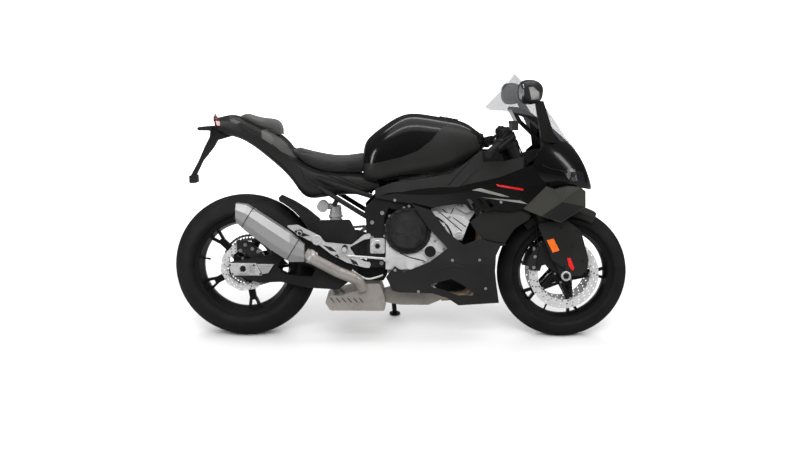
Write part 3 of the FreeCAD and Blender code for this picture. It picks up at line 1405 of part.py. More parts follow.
# Stand: the leg reaches the plane that the leaning machine stands on
def standing_placement():
    lean = math.radians(lean_degrees)

    def axle_height(radius, width, crown):
        return max(r * math.cos(lean) + y * math.sin(lean) for r, y in crown_line(radius, width, crown))

    front_height = axle_height(front_tyre_radius, front_tyre_width, front_crown_radius)
    rear_height = axle_height(rear_tyre_radius, rear_tyre_width, rear_crown_radius)
    front_now = front_tyre_radius * math.cos(lean)
    rear_now = rear_tyre_radius * math.cos(lean)
    lift = (rear_height - rear_now) - (front_height - front_now)
    pitch = math.degrees(math.asin(lift / wheelbase))
    roll = FreeCAD.Rotation(vector(1, 0, 0), -lean_degrees)
    tip = FreeCAD.Rotation(vector(0, 1, 0), pitch)
    turn = tip.multiply(roll)
    low = turn.multVec(rear_axle).z
    return FreeCAD.Placement(vector(0, 0, rear_height - low), turn)


stand_pivot_shares = (-0.0453, 0.3614)
stand_out = 138.0
stand_foot_reach = 262.0
stand_rake = 26.0


def side_stand():
    standing = standing_placement()
    pivot = place(stand_pivot_shares, stand_out)
    ground = standing.inverse()
    normal = ground.Rotation.multVec(vector(0, 0, 1))
    foot_guess = vector(pivot.x + stand_rake, stand_foot_reach, 0)
    height = standing.multVec(foot_guess).z
    foot = foot_guess - normal * height
    pad = Part.makeCylinder(stand_foot_radius, stand_foot_thickness, foot, normal)
    leg_end = foot + normal * (stand_foot_thickness / 2)
    leg = rod(pivot, leg_end, stand_leg_radius)
    eye_half = stand_axis() * (2 * stand_leg_radius)
    eye = rod(pivot - eye_half, pivot + eye_half, eye_share * stand_leg_radius)
    whole = fused([leg, eye, pad])
    below = Part.makeBox(wheelbase, wheelbase, wheelbase, vector(-wheelbase / 2, -wheelbase / 2, -wheelbase))
    below.Placement = ground.multiply(below.Placement)
    pin_line = stand_axis() * wheelbase
    return whole.cut(below).cut(rod(pivot - pin_line, pivot + pin_line, stand_pin_radius + running_gap))


stand_pin_radius = 6.0
eye_share = 1.5
lug_share = 1.6
pin_inner_share = 4.4
pin_outer_share = 2.6


def stand_axis():
    tilt = math.radians(stand_tilt_degrees)
    return vector(0, math.cos(tilt), math.sin(tilt))


stand_tilt_degrees = 17.0
stand_arm_shares = [(-0.1098, 0.4072), (-0.0412, 0.4157), (-0.0275, 0.3614), (-0.0343, 0.3325),
    (-0.0618, 0.3373)]


def stand_bracket():
    pivot = place(stand_pivot_shares, stand_out)
    axis = stand_axis()
    inner_end = pivot - axis * (pin_inner_share * stand_leg_radius)
    pin = rod(inner_end, pivot + axis * (pin_outer_share * stand_leg_radius), stand_pin_radius)
    lug = rod(inner_end, pivot - axis * (2 * stand_leg_radius + running_gap), lug_share * stand_leg_radius)
    arm_outer = pivot.y - pin_outer_share * stand_leg_radius
    arm = slab(stand_arm_shares, arm_outer - 2 * stand_leg_radius, arm_outer)
    return fused([pin, lug, arm]).cut(frame()).cut(engine_block())


def both_sides(maker):
    return Part.makeCompound([maker(side) for side in (-1, 1)])


def with_mirror(shape):
    return Part.makeCompound([shape, mirrored(shape)])


# One entry for each piece of the machine
def build():
    return {
        'tyre_front': tyre(front_axle, front_tyre_radius, front_tyre_width, front_crown_radius,
                           front_rim_half_width),
        'rim_front': rim(front_axle, front_rim_half_width, front_hub_half_width, axle_radius + running_gap,
                         front_spoke_degrees),
        'discs_front': front_discs(),
        'tyre_rear': tyre(rear_axle, rear_tyre_radius, rear_tyre_width, rear_crown_radius, rear_rim_half_width),
        'rim_rear': rim(rear_axle, rear_rim_half_width, rear_hub_half_width, axle_radius + running_gap,
                        rear_spoke_degrees),
        'disc_rear': disc(rear_axle, rear_disc_radius, rear_disc_inner, rear_hub_half_width, -1,
                          rear_spoke_degrees),
        'sprocket_rear': rear_sprocket(),
        'axle_front': front_axle_bar(),
        'fork_legs': fork_legs(),
        'calipers_front': calipers(),
        'triple_clamps': triple_clamps(),
        'handlebars': both_sides(handlebar),
        'levers': both_sides(lever),
        'brake_reservoir': brake_reservoir(),
        'fender_front': front_fender(),
        'side_stand': side_stand(),
        'axle_rear': rear_axle_bar(),
        'frame': frame(),
        'engine_block': engine_block(),
        'clutch_cover': clutch_cover(),
        'alternator_cover': alternator_cover(),
        'sprocket_front': front_sprocket(),
        'sprocket_cover': sprocket_cover(),
        'swingarm': swingarm(),
        'swingarm_pivot': swingarm_pivot(),
        'caliper_rear': rear_caliper(),
        'chain': chain(),
        'hugger_rear': rear_hugger(),
        'shock': shock(),
        'subframe': subframe(),
        'fuel_tank': fuel_tank(),
        'tank_covers': both_sides(tank_cover),
        'rider_seat': rider_seat(),
        'pillion_pad': pillion_pad(),
        'tail_unit': tail_unit(),
        'tail_light': tail_light(),
        'plate_holder': plate_holder(),
        'upper_cowl': upper_cowl(),
        'headlights': headlights(),
        'front_carrier': front_carrier(),
        'instrument': instrument(),
        'windscreen': windscreen(),
        'mirrors': both_sides(mirror),
        'winglets': both_sides(winglet),
        'side_fairings': with_mirror(side_fairing()),
        'cockpit_trims': with_mirror(upper_trim()),
        'lower_fairings': Part.makeCompound([lower_fairing(), mirrored(lower_fairing()).cut(stand_notch())]),
        'radiator': radiator(),
        'radiator_shrouds': both_sides(radiator_shroud),
        'exhaust_muffler': muffler(),
        'exhaust_link_pipe': link_pipe(),
        'exhaust_collector': collector_box(),
        'exhaust_headers': exhaust_headers(),
        'footrests': both_sides(footrest),
        'stand_bracket': stand_bracket()}


def main():
    os.makedirs("parts", exist_ok=True)
    standing = standing_placement()
    turned = {name: shape.transformed(standing.toMatrix(), True) for name, shape in build().items()}
    box = FreeCAD.BoundBox()
    for shape in turned.values():
        for point in shape.tessellate(running_gap)[0]:
            box.add(point)
    shift = vector(-(box.XMin + box.XMax) / 2, -(box.YMin + box.YMax) / 2, 0)
    print('origin shift', shift.x, shift.y, shift.z)
    for name, shape in turned.items():
        shape.translated(shift).exportStep("parts/" + name + ".step")


main()
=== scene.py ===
import json
import math
import bpy
import bmesh
from mathutils import Vector, Matrix
from mathutils.bvhtree import BVHTree


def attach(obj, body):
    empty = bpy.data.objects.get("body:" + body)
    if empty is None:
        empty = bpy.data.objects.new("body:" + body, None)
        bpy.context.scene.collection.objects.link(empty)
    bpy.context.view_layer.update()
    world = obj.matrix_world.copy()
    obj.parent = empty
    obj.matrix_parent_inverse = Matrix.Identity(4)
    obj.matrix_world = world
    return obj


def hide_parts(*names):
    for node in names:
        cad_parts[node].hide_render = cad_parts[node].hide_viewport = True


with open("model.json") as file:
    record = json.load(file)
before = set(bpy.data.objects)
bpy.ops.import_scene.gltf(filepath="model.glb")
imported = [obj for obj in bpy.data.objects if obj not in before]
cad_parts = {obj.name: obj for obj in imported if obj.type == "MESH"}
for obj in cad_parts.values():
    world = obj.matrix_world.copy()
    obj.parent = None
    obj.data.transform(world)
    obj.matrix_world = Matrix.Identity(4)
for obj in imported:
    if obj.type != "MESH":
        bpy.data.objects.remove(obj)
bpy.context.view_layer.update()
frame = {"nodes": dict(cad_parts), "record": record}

# the machine's own upright frame in millimetres: forward, left, up, from the two wheel joints
machine = {
    'wheelbase': 1457.0, 'frontRadius': 299.9, 'rearRadius': 325.9, 'rake': 23.6, 'forkOffset': 34.0}
joints = {joint['name']: joint for joint in frame['record']['behaviour']['joints']}


def machineFrame():
    rear = Vector(joints['rear_wheel_spin']['pos_m'])
    front = Vector(joints['front_wheel_spin']['pos_m'])
    left = Vector(joints['rear_wheel_spin']['axis']).normalized()
    line = (front - rear).normalized()
    drop = math.atan2(machine['rearRadius'] - machine['frontRadius'], machine['wheelbase'])
    ahead = Matrix.Rotation(-drop, 3, left) @ line
    up = ahead.cross(left)
    turn = Matrix((ahead, left, up)).transposed()
    middle = rear + (ahead * machine['wheelbase'] / 2 - up * machine['rearRadius']) / 1000
    return turn, middle


turn, middle = machineFrame()
unturn = turn.transposed()
frontAxle = Vector((machine['wheelbase'] / 2, 0, machine['frontRadius']))
rearAxle = Vector((-machine['wheelbase'] / 2, 0, machine['rearRadius']))
rake = math.radians(machine['rake'])
steerUp = Vector((-math.sin(rake), 0, math.cos(rake)))
steerAhead = Vector((math.cos(rake), 0, math.sin(rake)))
steerFoot = frontAxle - steerAhead * machine['forkOffset']
toRight, toLeft, toTop = (0, -1, 0), (0, 1, 0), (0, 0, 1)
acrossAxis = Vector(toLeft)


# two directions mixed by an angle, and the way out from a wheel's middle
def swing(first, second, angle):
    return first * math.cos(angle) + second * math.sin(angle)


def spoke(angle):
    return Vector((math.cos(angle), 0, math.sin(angle)))


def at(x, y, z):
    return middle + turn @ Vector((x, y, z)) / 1000


def back(point):
    return unturn @ (Vector(point) - middle) * 1000


def forkSpot(along, forward, y):
    return steerFoot + steerUp * along + steerAhead * forward + acrossAxis * y


def addObject(name, data):
    holder = bpy.data.objects.new(name, data)
    bpy.context.scene.collection.objects.link(holder)
    return holder


camera = {
    'back': 5000.0, 'along': -102.4, 'height': 1061.6, 'yaw': 0.914, 'pitch': -6.27, 'roll': 0.473,
    'focal': 1089.5, 'imageWidth': 800, 'sensor': 36.0}


def placeCamera():
    yaw, pitch, roll = (math.radians(camera[name]) for name in ('yaw', 'pitch', 'roll'))
    forward = Vector((math.sin(yaw) * math.cos(pitch), math.cos(yaw) * math.cos(pitch), math.sin(pitch)))
    right = forward.cross(Vector(toTop)).normalized()
    up = right.cross(forward)
    rolledRight = right * math.cos(roll) + up * math.sin(roll)
    rolledUp = up * math.cos(roll) - right * math.sin(roll)
    lens = bpy.data.cameras.new('sideCamera')
    lens.sensor_width = camera['sensor']
    lens.lens = camera['focal'] / camera['imageWidth'] * camera['sensor']
    holder = addObject('sideCamera', lens)
    spin = turn @ Matrix((rolledRight, rolledUp, -forward)).transposed()
    holder.matrix_world = Matrix.Translation(at(camera['along'], -camera['back'],
                                                camera['height'])) @ spin.to_4x4()
    bpy.context.scene.camera = holder


placeCamera()
print('camera placed')

# shader nodes: settings are made first, then each input is set to a value or linked from a socket


def setInputs(tree, node, inputs):
    for key, value in inputs.items():
        if isinstance(value, bpy.types.NodeSocket):
            tree.links.new(value, node.inputs[key])
        else:
            node.inputs[key].default_value = value


def addNode(tree, kind, inputs=None, **settings):
    node = tree.nodes.new(kind)
    for key, value in settings.items():
        setattr(node, key, value)
    setInputs(tree, node, inputs or {})
    return node


def newGroup(name, inputs):
    tree = bpy.data.node_groups.new(name, 'ShaderNodeTree')
    for label, value in inputs.items():
        kind = {3: 'Vector', 4: 'Color'}[len(value)] if isinstance(value, tuple) else 'Float'
        socket = tree.interface.new_socket(name=label, in_out='INPUT', socket_type='NodeSocket' + kind)
        socket.default_value = value
    for label, kind in (('Colour', 'Color'), ('Roughness', 'Float'), ('Normal', 'Vector')):
        tree.interface.new_socket(name=label, in_out='OUTPUT', socket_type='NodeSocket' + kind)
    return tree, tree.nodes.new('NodeGroupInput').outputs


def noiseNode(tree, detail, place, scale):
    inputs = {'Detail': detail, 'Roughness': 0.55, 'Vector': place, 'Scale': scale}
    return addNode(tree, 'ShaderNodeTexNoise', inputs).outputs['Fac']


def stretchNode(tree, source, lowFrom, highFrom, lowTo=0.0, highTo=1.0):
    inputs = {'Value': source, 'From Min': lowFrom, 'From Max': highFrom, 'To Min': lowTo, 'To Max': highTo}
    return addNode(tree, 'ShaderNodeMapRange', inputs).outputs['Result']


# colour between the two tones, gloss between the two levels and the grain as a bump
def endGroup(tree, given, tone, gloss, grain, height, low, high):
    tones = {'Factor': stretchNode(tree, tone, low, high), 'A': given['First Colour'],
             'B': given['Second Colour']}
    mixed = addNode(tree, 'ShaderNodeMix', tones, data_type='RGBA').outputs['Result']
    level = stretchNode(tree, gloss, low, high, given['Rough Low'], given['Rough High'])
    bump = addNode(tree, 'ShaderNodeBump', {'Strength': 1.0, 'Distance': given[height], 'Height': grain})
    addNode(tree, 'NodeGroupOutput', {'Colour': mixed, 'Roughness': level, 'Normal': bump.outputs['Normal']})
    return tree


# clouded colour, uneven gloss and a fine grain in the surface
def makeFinishGroup():
    tree, given = newGroup('surfaceFinish', {
        'First Colour': rgb(0.1), 'Second Colour': rgb(0.2), 'Cloud Scale': 6.0, 'Grain Scale': 400.0,
        'Rough Low': 0.3, 'Rough High': 0.5, 'Grain Height': 0.0001})
    place = addNode(tree, 'ShaderNodeTexCoord').outputs['Object']
    clouds = noiseNode(tree, 4.0, place, given['Cloud Scale'])
    grain = noiseNode(tree, 2.0, place, given['Grain Scale'])
    share = addNode(tree, 'ShaderNodeMath', {0: clouds, 1: 0.4}, operation='MULTIPLY').outputs[0]
    both = addNode(tree, 'ShaderNodeMath', {0: grain, 1: 0.6, 2: share}, operation='MULTIPLY_ADD').outputs[0]
    return endGroup(tree, given, clouds, both, grain, 'Grain Height', 0.35, 0.65)


# fine lines along a direction, for brushed or turned metal
def makeBrushGroup():
    tree, given = newGroup('brushLines', {
        'Turn': (0.0, 0.0, 0.0), 'Stretch': (40.0, 1500.0, 1500.0), 'First Colour': rgb(0.5),
        'Second Colour': rgb(0.6), 'Rough Low': 0.25, 'Rough High': 0.45, 'Line Height': 0.00005})
    place = addNode(tree, 'ShaderNodeTexCoord').outputs['Object']
    spin = addNode(tree, 'ShaderNodeVectorRotate', {'Vector': place, 'Rotation': given['Turn']},
                   rotation_type='EULER_XYZ').outputs['Vector']
    pull = addNode(tree, 'ShaderNodeVectorMath', {0: spin, 1: given['Stretch']}, operation='MULTIPLY')
    lines = noiseNode(tree, 2.0, pull.outputs['Vector'], 1.0)
    return endGroup(tree, given, lines, lines, lines, 'Line Height', 0.3, 0.7)


# a grey may be given as one number
def rgb(colour):
    return (*colour, 1.0) if isinstance(colour, tuple) else (colour, colour, colour, 1.0)


finishGroup = makeFinishGroup()
brushGroup = makeBrushGroup()
finishes = {}


def shell(name):
    material = bpy.data.materials.new(name)
    material.use_nodes = True
    finishes[name] = material
    return material, material.node_tree, material.node_tree.nodes['Principled BSDF']


def wear(name, group, first, second, rough, values, gloss):
    _, tree, shade = shell(name)
    inputs = {'First Colour': rgb(first), 'Second Colour': rgb(second), 'Rough Low': rough[0],
              'Rough High': rough[1], **values}
    made = addNode(tree, 'ShaderNodeGroup', inputs, node_tree=group).outputs
    setInputs(tree, shade, {'Base Color': made['Colour'], 'Roughness': made['Roughness'],
                            'Normal': made['Normal'], **gloss})


def finish(name, first, second, rough, cloud=6.0, grain=400.0, height=0.00004, metallic=0.0, coat=0.0,
           coatRough=0.05, specular=0.5, sheen=0.0):
    wear(name, finishGroup, first, second, rough,
         {'Cloud Scale': cloud, 'Grain Scale': grain, 'Grain Height': height},
         {'Metallic': metallic, 'Coat Weight': coat, 'Coat Roughness': coatRough,
          'Specular IOR Level': specular, 'Sheen Weight': sheen})


# first tone, second tone, gloss range and what differs from the usual
paints = {
    'glossBlack': (0.0022, (0.003, 0.003, 0.0029), (0.16, 0.2),
                   dict(cloud=3.0, grain=900.0, height=0.000004, specular=0.35, coat=0.35, coatRough=0.03)),
    'satinGrey': ((0.0125, 0.0125, 0.012), (0.016, 0.016, 0.0155), (0.34, 0.42),
                  dict(grain=1400.0, height=0.000015, specular=0.3, coat=0.08, coatRough=0.3)),
    'wingGrey': ((0.045, 0.045, 0.038), (0.056, 0.055, 0.047), (0.3, 0.4),
                 dict(grain=1500.0, height=0.00001, metallic=0.5, coat=0.25, coatRough=0.15)),
    'bellyBlack': ((0.013, 0.013, 0.0128), (0.017, 0.017, 0.0168), (0.42, 0.52),
                   dict(grain=1200.0, height=0.00002, specular=0.3)),
    'mouldedBlack': (0.0105, 0.015, (0.5, 0.64), dict(grain=900.0, height=0.00006, specular=0.3)),
    'frameBlack': (0.009, 0.013, (0.36, 0.48), dict(grain=700.0, height=0.00003, specular=0.3)),
    'rimBlack': (0.0045, 0.0065, (0.24, 0.32), dict(grain=800.0, height=0.00001, specular=0.35, coat=0.2,
                                                    coatRough=0.08)),
    'tyreRubber': (0.0065, 0.0105, (0.55, 0.7), dict(cloud=14.0, grain=1100.0, height=0.00008,
                                                     specular=0.25)),
    'gripRubber': (0.008, 0.013, (0.7, 0.85), dict(grain=1500.0, height=0.00008, specular=0.2)),
    'castSilver': (0.66, 0.74, (0.36, 0.46), dict(cloud=25.0, grain=1200.0, height=0.000015, metallic=0.45)),
    'castBlack': (0.014, 0.021, (0.42, 0.55), dict(cloud=20.0, grain=1000.0, height=0.00006, specular=0.35)),
    'milledSilver': (0.72, 0.8, (0.24, 0.32), dict(cloud=14.0, grain=1200.0, height=0.000004, metallic=0.6)),
    'boltSteel': ((0.4, 0.4, 0.41), (0.55, 0.55, 0.56), (0.25, 0.4),
                  dict(cloud=60.0, grain=900.0, height=0.00002, metallic=0.7)),
    'boltBlack': ((0.02, 0.02, 0.021), (0.03, 0.03, 0.031), (0.3, 0.45),
                  dict(cloud=60.0, grain=900.0, height=0.00002, metallic=0.6)),
    'chainSteel': ((0.3, 0.29, 0.27), (0.44, 0.43, 0.4), (0.28, 0.42),
                   dict(cloud=90.0, grain=900.0, height=0.00003, metallic=0.7)),
    'heatedPipe': ((0.34, 0.23, 0.15), (0.5, 0.42, 0.34), (0.22, 0.34),
                   dict(cloud=9.0, grain=500.0, height=0.00002, metallic=0.6)),
    'champagneSteel': ((0.42, 0.385, 0.35), (0.5, 0.47, 0.44), (0.24, 0.34),
                       dict(cloud=9.0, grain=900.0, height=0.000006, metallic=0.65)),
    'springRed': ((0.35, 0.008, 0.01), (0.45, 0.012, 0.014), (0.3, 0.4),
                  dict(grain=600.0, height=0.00002, coat=0.4)),
    'radiatorCore': (0.01, 0.02, (0.5, 0.6), dict(grain=900.0, height=0.0001, metallic=0.4)),
    'reflectorOrange': ((0.8, 0.17, 0.02), (0.66, 0.11, 0.012), (0.12, 0.22),
                        dict(cloud=120.0, grain=900.0, height=0.0001, coat=0.5)),
    'tagRed': ((0.75, 0.012, 0.012), (0.65, 0.01, 0.01), (0.3, 0.4), dict(grain=600.0)),
    'stripeRed': ((0.5, 0.006, 0.01), (0.55, 0.008, 0.012), (0.25, 0.3), dict(coat=0.4)),
    'stripeGrey': ((0.17, 0.17, 0.15), (0.22, 0.22, 0.2), (0.25, 0.32), dict(coat=0.3)),
    'seatBlack': (0.012, 0.019, (0.5, 0.66), dict(cloud=10.0, grain=650.0, height=0.00018, specular=0.35,
                                                  sheen=0.08)),
    'padGrey': ((0.038, 0.038, 0.036), (0.055, 0.055, 0.052), (0.46, 0.6),
                dict(cloud=14.0, grain=700.0, height=0.00014, specular=0.4, sheen=0.1)),
    'discSteel': (0.78, 0.86, (0.26, 0.34), dict(cloud=30.0, grain=1200.0, height=0.000004, metallic=0.5)),
    'lampRed': ((0.09, 0.002, 0.002), (0.13, 0.003, 0.003), (0.08, 0.14), dict(grain=300.0, coat=1.0)),
    'lampAmber': ((0.5, 0.2, 0.05), (0.6, 0.26, 0.07), (0.1, 0.16), dict(grain=300.0, coat=1.0)),
    'reflectorBowl': ((0.75, 0.75, 0.77), (0.85, 0.85, 0.87), (0.06, 0.12), dict(metallic=1.0)),
    'screenGlass': ((0.004, 0.004, 0.005), (0.006, 0.006, 0.008), (0.05, 0.08), dict(coat=1.0)),
    'facetLight': ((0.07, 0.07, 0.068), (0.09, 0.09, 0.087), (0.34, 0.42),
                   dict(grain=1400.0, height=0.00001, coat=0.1)),
    'signalLens': ((0.16, 0.16, 0.155), (0.24, 0.24, 0.23), (0.1, 0.18), dict(cloud=40.0, coat=0.6)),
    'mirrorGlass': ((0.8, 0.82, 0.84), (0.86, 0.88, 0.9), (0.01, 0.02), dict(metallic=1.0, height=0.0))}
for paintName, (first, second, rough, extras) in paints.items():
    finish(paintName, first, second, rough, **extras)
wear('mufflerSteel', brushGroup, 0.34, 0.52, (0.3, 0.44),
     {'Turn': (0.0, 0.64, 0.0), 'Stretch': (30.0, 900.0, 1600.0), 'Line Height': 0.00003}, {'Metallic': 0.6})


def glassFinish(name, colour, alpha, rough):
    _, tree, shade = shell(name)
    place = addNode(tree, 'ShaderNodeTexCoord').outputs['Object']
    level = stretchNode(tree, noiseNode(tree, 2.0, place, 7.0), 0.3, 0.7, *alpha)
    setInputs(tree, shade, {'Base Color': rgb(colour), 'Roughness': rough, 'IOR': 1.45, 'Coat Weight': 0.2,
                            'Alpha': level})


glassFinish('screenClear', (0.15, 0.155, 0.16), (0.24, 0.28), 0.03)
glassFinish('lampLens', (0.02, 0.02, 0.022), (0.5, 0.56), 0.05)
print('finishes made', len(finishes))

# carried-over nodes by finish
nodeFinish = {
    'tyreRubber': ('tyre_front', 'tyre_rear'),
    'rimBlack': ('rim_front', 'rim_rear'),
    'discSteel': ('discs_front', 'disc_rear'),
    'boltSteel': ('sprocket_rear', 'sprocket_front'),
    'milledSilver': ('axle_front', 'axle_rear', 'swingarm_pivot', 'shock', 'footrests'),
    'frameBlack': ('fork_legs', 'triple_clamps', 'handlebars', 'levers', 'side_stand', 'frame', 'swingarm',
                   'subframe', 'stand_bracket'),
    'castBlack': ('calipers_front', 'clutch_cover', 'alternator_cover', 'caliper_rear'),
    'wingGrey': ('brake_reservoir', 'winglets'),
    'satinGrey': ('fender_front', 'tank_covers', 'tail_unit', 'mirrors', 'cockpit_trims',
                  'radiator_shrouds'),
    'castSilver': ('engine_block',),
    'mouldedBlack': ('sprocket_cover', 'hugger_rear', 'plate_holder', 'front_carrier', 'instrument'),
    'chainSteel': ('chain',),
    'glossBlack': ('fuel_tank', 'upper_cowl', 'side_fairings'),
    'seatBlack': ('rider_seat', 'pillion_pad'),
    'lampRed': ('tail_light',),
    'lampLens': ('headlights',),
    'screenClear': ('windscreen',),
    'bellyBlack': ('lower_fairings',),
    'radiatorCore': ('radiator',),
    'mufflerSteel': ('exhaust_muffler',),
    'champagneSteel': ('exhaust_link_pipe', 'exhaust_collector'),
    'heatedPipe': ('exhaust_headers',)}
for finishName, nodeNames in nodeFinish.items():
    for nodeName in nodeNames:
        meshData = frame['nodes'][nodeName].data
        meshData.materials.clear()
        meshData.materials.append(finishes[finishName])
print('nodes finished', sum(len(names) for names in nodeFinish.values()))


# mesh makers


def settle(mesh, name, finishName, sharp=35.0, body='chassis'):
    work = bmesh.new()
    work.from_mesh(mesh)
    bmesh.ops.remove_doubles(work, verts=work.verts, dist=0.00001)
    bmesh.ops.recalc_face_normals(work, faces=work.faces)
    work.to_mesh(mesh)
    work.free()
    mesh.materials.clear()
    mesh.materials.append(finishes[finishName])
    mesh.shade_smooth()
    mesh.set_sharp_from_angle(angle=math.radians(sharp))
    piece = addObject(name, mesh)
    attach(piece, body)
    return piece


# local meshes are small parts in millimetres about their own middle, copied out later
def solidMesh(name, corners, faces, local=False):
    mesh = bpy.data.meshes.new(name)
    mesh.from_pydata([Vector(corner) / 1000 if local else at(*corner) for corner in corners], [], faces)
    return mesh


# body of revolution about any line, closed at both ends
def turnedMesh(name, start, heading, profile, steps=24, local=False):
    heading = Vector(heading).normalized()
    side = heading.orthogonal().normalized()
    other = heading.cross(side)
    corners, faces = [], []
    count = len(profile)
    for along, radius in profile:
        for i in range(steps):
            angle = 2 * math.pi * i / steps
            corners.append(Vector(start) + heading * along + swing(side, other, angle) * max(radius, 0.01))
    for j in range(count - 1):
        for i in range(steps):
            k = (i + 1) % steps
            faces.append((j * steps + i, j * steps + k, (j + 1) * steps + k, (j + 1) * steps + i))
    faces.append(tuple(range(steps)))
    faces.append(tuple((count - 1) * steps + i for i in range(steps)))
    return solidMesh(name, corners, faces, local)


def localPlate(name, outlines, low, high):
    return plateMesh(name, outlines, low, high, place=lambda u, v,
                     w: Vector((u, w + (low + high) / 2, v)) / 1000)


# what an object's modifiers or curve settings make of it
def evaluated(holder):
    bpy.context.view_layer.update()
    return bpy.data.meshes.new_from_object(holder.evaluated_get(bpy.context.evaluated_depsgraph_get()))


# flat outlines with holes, given thickness and a small chamfer, set across the machine
def plateMesh(name, outlines, yFrom, yTo, chamfer=0.0, place=None):
    curve = bpy.data.curves.new(name, 'CURVE')
    curve.dimensions = '2D'
    curve.fill_mode = 'BOTH'
    curve.resolution_u = 1
    curve.extrude = abs(yTo - yFrom) / 2 - chamfer
    curve.bevel_depth = chamfer
    curve.bevel_resolution = 0
    curve.offset = -chamfer
    for outline in outlines:
        spline = curve.splines.new('POLY')
        spline.points.add(len(outline) - 1)
        for point, (u, v) in zip(spline.points, outline):
            point.co = (u, v, 0, 1)
        spline.use_cyclic_u = True
    holder = addObject(name, curve)
    mesh = evaluated(holder)
    middleY = (yFrom + yTo) / 2
    for vertex in mesh.vertices:
        u, v, w = vertex.co
        vertex.co = place(u, v, w) if place else at(u, middleY + w, v)
    bpy.data.objects.remove(holder)
    return mesh


def circle(x, z, radius, steps=16):
    return [(x + radius * math.cos(2 * math.pi * i / steps), z + radius * math.sin(2 * math.pi * i / steps))
            for i in range(steps)]


def polarSpot(centre, radius, angle):
    return (centre.x + radius * math.cos(angle), centre.z + radius * math.sin(angle))


# spots round a circle across the machine, each facing a side
def boltRing(centre, radius, count, y, side, lead=0.0):
    spots = []
    for i in range(count):
        x, z = polarSpot(centre, radius, 2 * math.pi * (i + lead) / count)
        spots.append(((x, y, z), (0, side, 0)))
    return spots


def tubeMesh(name, points, radius, smooth=True, resolution=8):
    curve = bpy.data.curves.new(name, 'CURVE')
    curve.dimensions = '3D'
    curve.bevel_depth = radius / 1000
    curve.bevel_resolution = 3
    curve.use_fill_caps = True
    curve.resolution_u = resolution
    spline = curve.splines.new('NURBS' if smooth else 'POLY')
    spline.points.add(len(points) - 1)
    for point, place in zip(spline.points, points):
        point.co = (*at(*place), 1)
    if smooth:
        spline.order_u = 3
        spline.use_endpoint_u = True
    holder = addObject(name, curve)
    mesh = evaluated(holder)
    bpy.data.objects.remove(holder)
    return mesh


def freed(work, name):
    mesh = bpy.data.meshes.new(name)
    work.to_mesh(mesh)
    work.free()
    return mesh


def joined(meshes, name):
    work = bmesh.new()
    for mesh in meshes:
        work.from_mesh(mesh)
    return freed(work, name)


def assemble(meshes, name, finishName, sharp=35.0, body='chassis'):
    return settle(joined(meshes, name), name, finishName, sharp, body)


# where a line across the machine first meets a node, and the way that the surface faces there
skins = {}


def skinFrom(mesh):
    mesh.calc_loop_triangles()
    return BVHTree.FromPolygons([back(vertex.co) for vertex in mesh.vertices],
                                [tuple(face.vertices) for face in mesh.loop_triangles])


def skinOf(nodeName):
    if nodeName not in skins:
        skins[nodeName] = skinFrom(frame['nodes'][nodeName].data)
    return skins[nodeName]


def surfaceSpot(nodeName, x, z, side=-1, far=700.0):
    hit, normal, _, _ = skinOf(nodeName).ray_cast(Vector((x, side * far, z)), Vector((0, -side, 0)))
    if hit is None:
        return None, None
    return hit, normal if normal.y * side > 0 else -normal


# spots on a node's side, each facing straight out from it
def sideSpots(nodeName, places, side):
    return [(surfaceSpot(nodeName, x, z, side)[0], (0, side, 0)) for x, z in places]


# flat grid of small triangles over an outline
def flatGrid(outline, step):
    flat = bmesh.new()
    flat.faces.new([flat.verts.new((u, v, 0)) for u, v in outline])
    bmesh.ops.triangulate(flat, faces=flat.faces)
    for _ in range(6):
        longEdges = [edge for edge in flat.edges if edge.calc_length() > step]
        if not longEdges:
            break
        bmesh.ops.subdivide_edges(flat, edges=longEdges, cuts=1)
        bmesh.ops.triangulate(flat, faces=flat.faces)
    return flat


# thin patch laid on a node along a way; points that miss it and faces over a steep step are left out
def layPatch(name, nodeName, outline, start, way, lift, step, thick):
    flat = flatGrid(outline, step)
    missed = []
    for vertex in flat.verts:
        hit, _, _, _ = skinOf(nodeName).ray_cast(start(vertex.co.x, vertex.co.y), way)
        if hit is None:
            missed.append(vertex)
        else:
            vertex.co = hit - way * lift
    bmesh.ops.delete(flat, geom=missed, context='VERTS')
    steep = [face for face in flat.faces
             if max(v.co.y for v in face.verts) - min(v.co.y for v in face.verts) > 2.5 * step]
    bmesh.ops.delete(flat, geom=steep, context='FACES')
    loose = [vertex for vertex in flat.verts if not vertex.link_faces]
    bmesh.ops.delete(flat, geom=loose, context='VERTS')
    flat.faces.ensure_lookup_table()
    body = bmesh.ops.extrude_face_region(flat, geom=flat.faces[:])
    for item in body['geom']:
        if isinstance(item, bmesh.types.BMVert):
            item.co += way * thick
    for vertex in flat.verts:
        vertex.co = at(*vertex.co)
    return freed(flat, name)


# patch on a node's side, from an outline of (x, z) corners
def patchMesh(name, nodeName, outline, side, lift, step=6.0, thick=0.8):
    return layPatch(name, nodeName, outline, lambda x, z: Vector((x, side * 700.0, z)),
                    Vector((0, -side, 0)), lift, step, thick)


# geometry trees


def geometryTree(name, inputs):
    tree = bpy.data.node_groups.new(name, 'GeometryNodeTree')
    keys = {}
    for label, kind in (('Geometry', 'Geometry'), *inputs.items()):
        socket = tree.interface.new_socket(name=label, in_out='INPUT', socket_type='NodeSocket' + kind)
        keys[label] = socket.identifier
    tree.interface.new_socket(name='Geometry', in_out='OUTPUT', socket_type='NodeSocketGeometry')
    return tree, tree.nodes.new('NodeGroupInput').outputs, keys


def storedValue(tree, name, kind):
    return addNode(tree, 'GeometryNodeInputNamedAttribute', {'Name': name},
                   data_type=kind).outputs['Attribute']


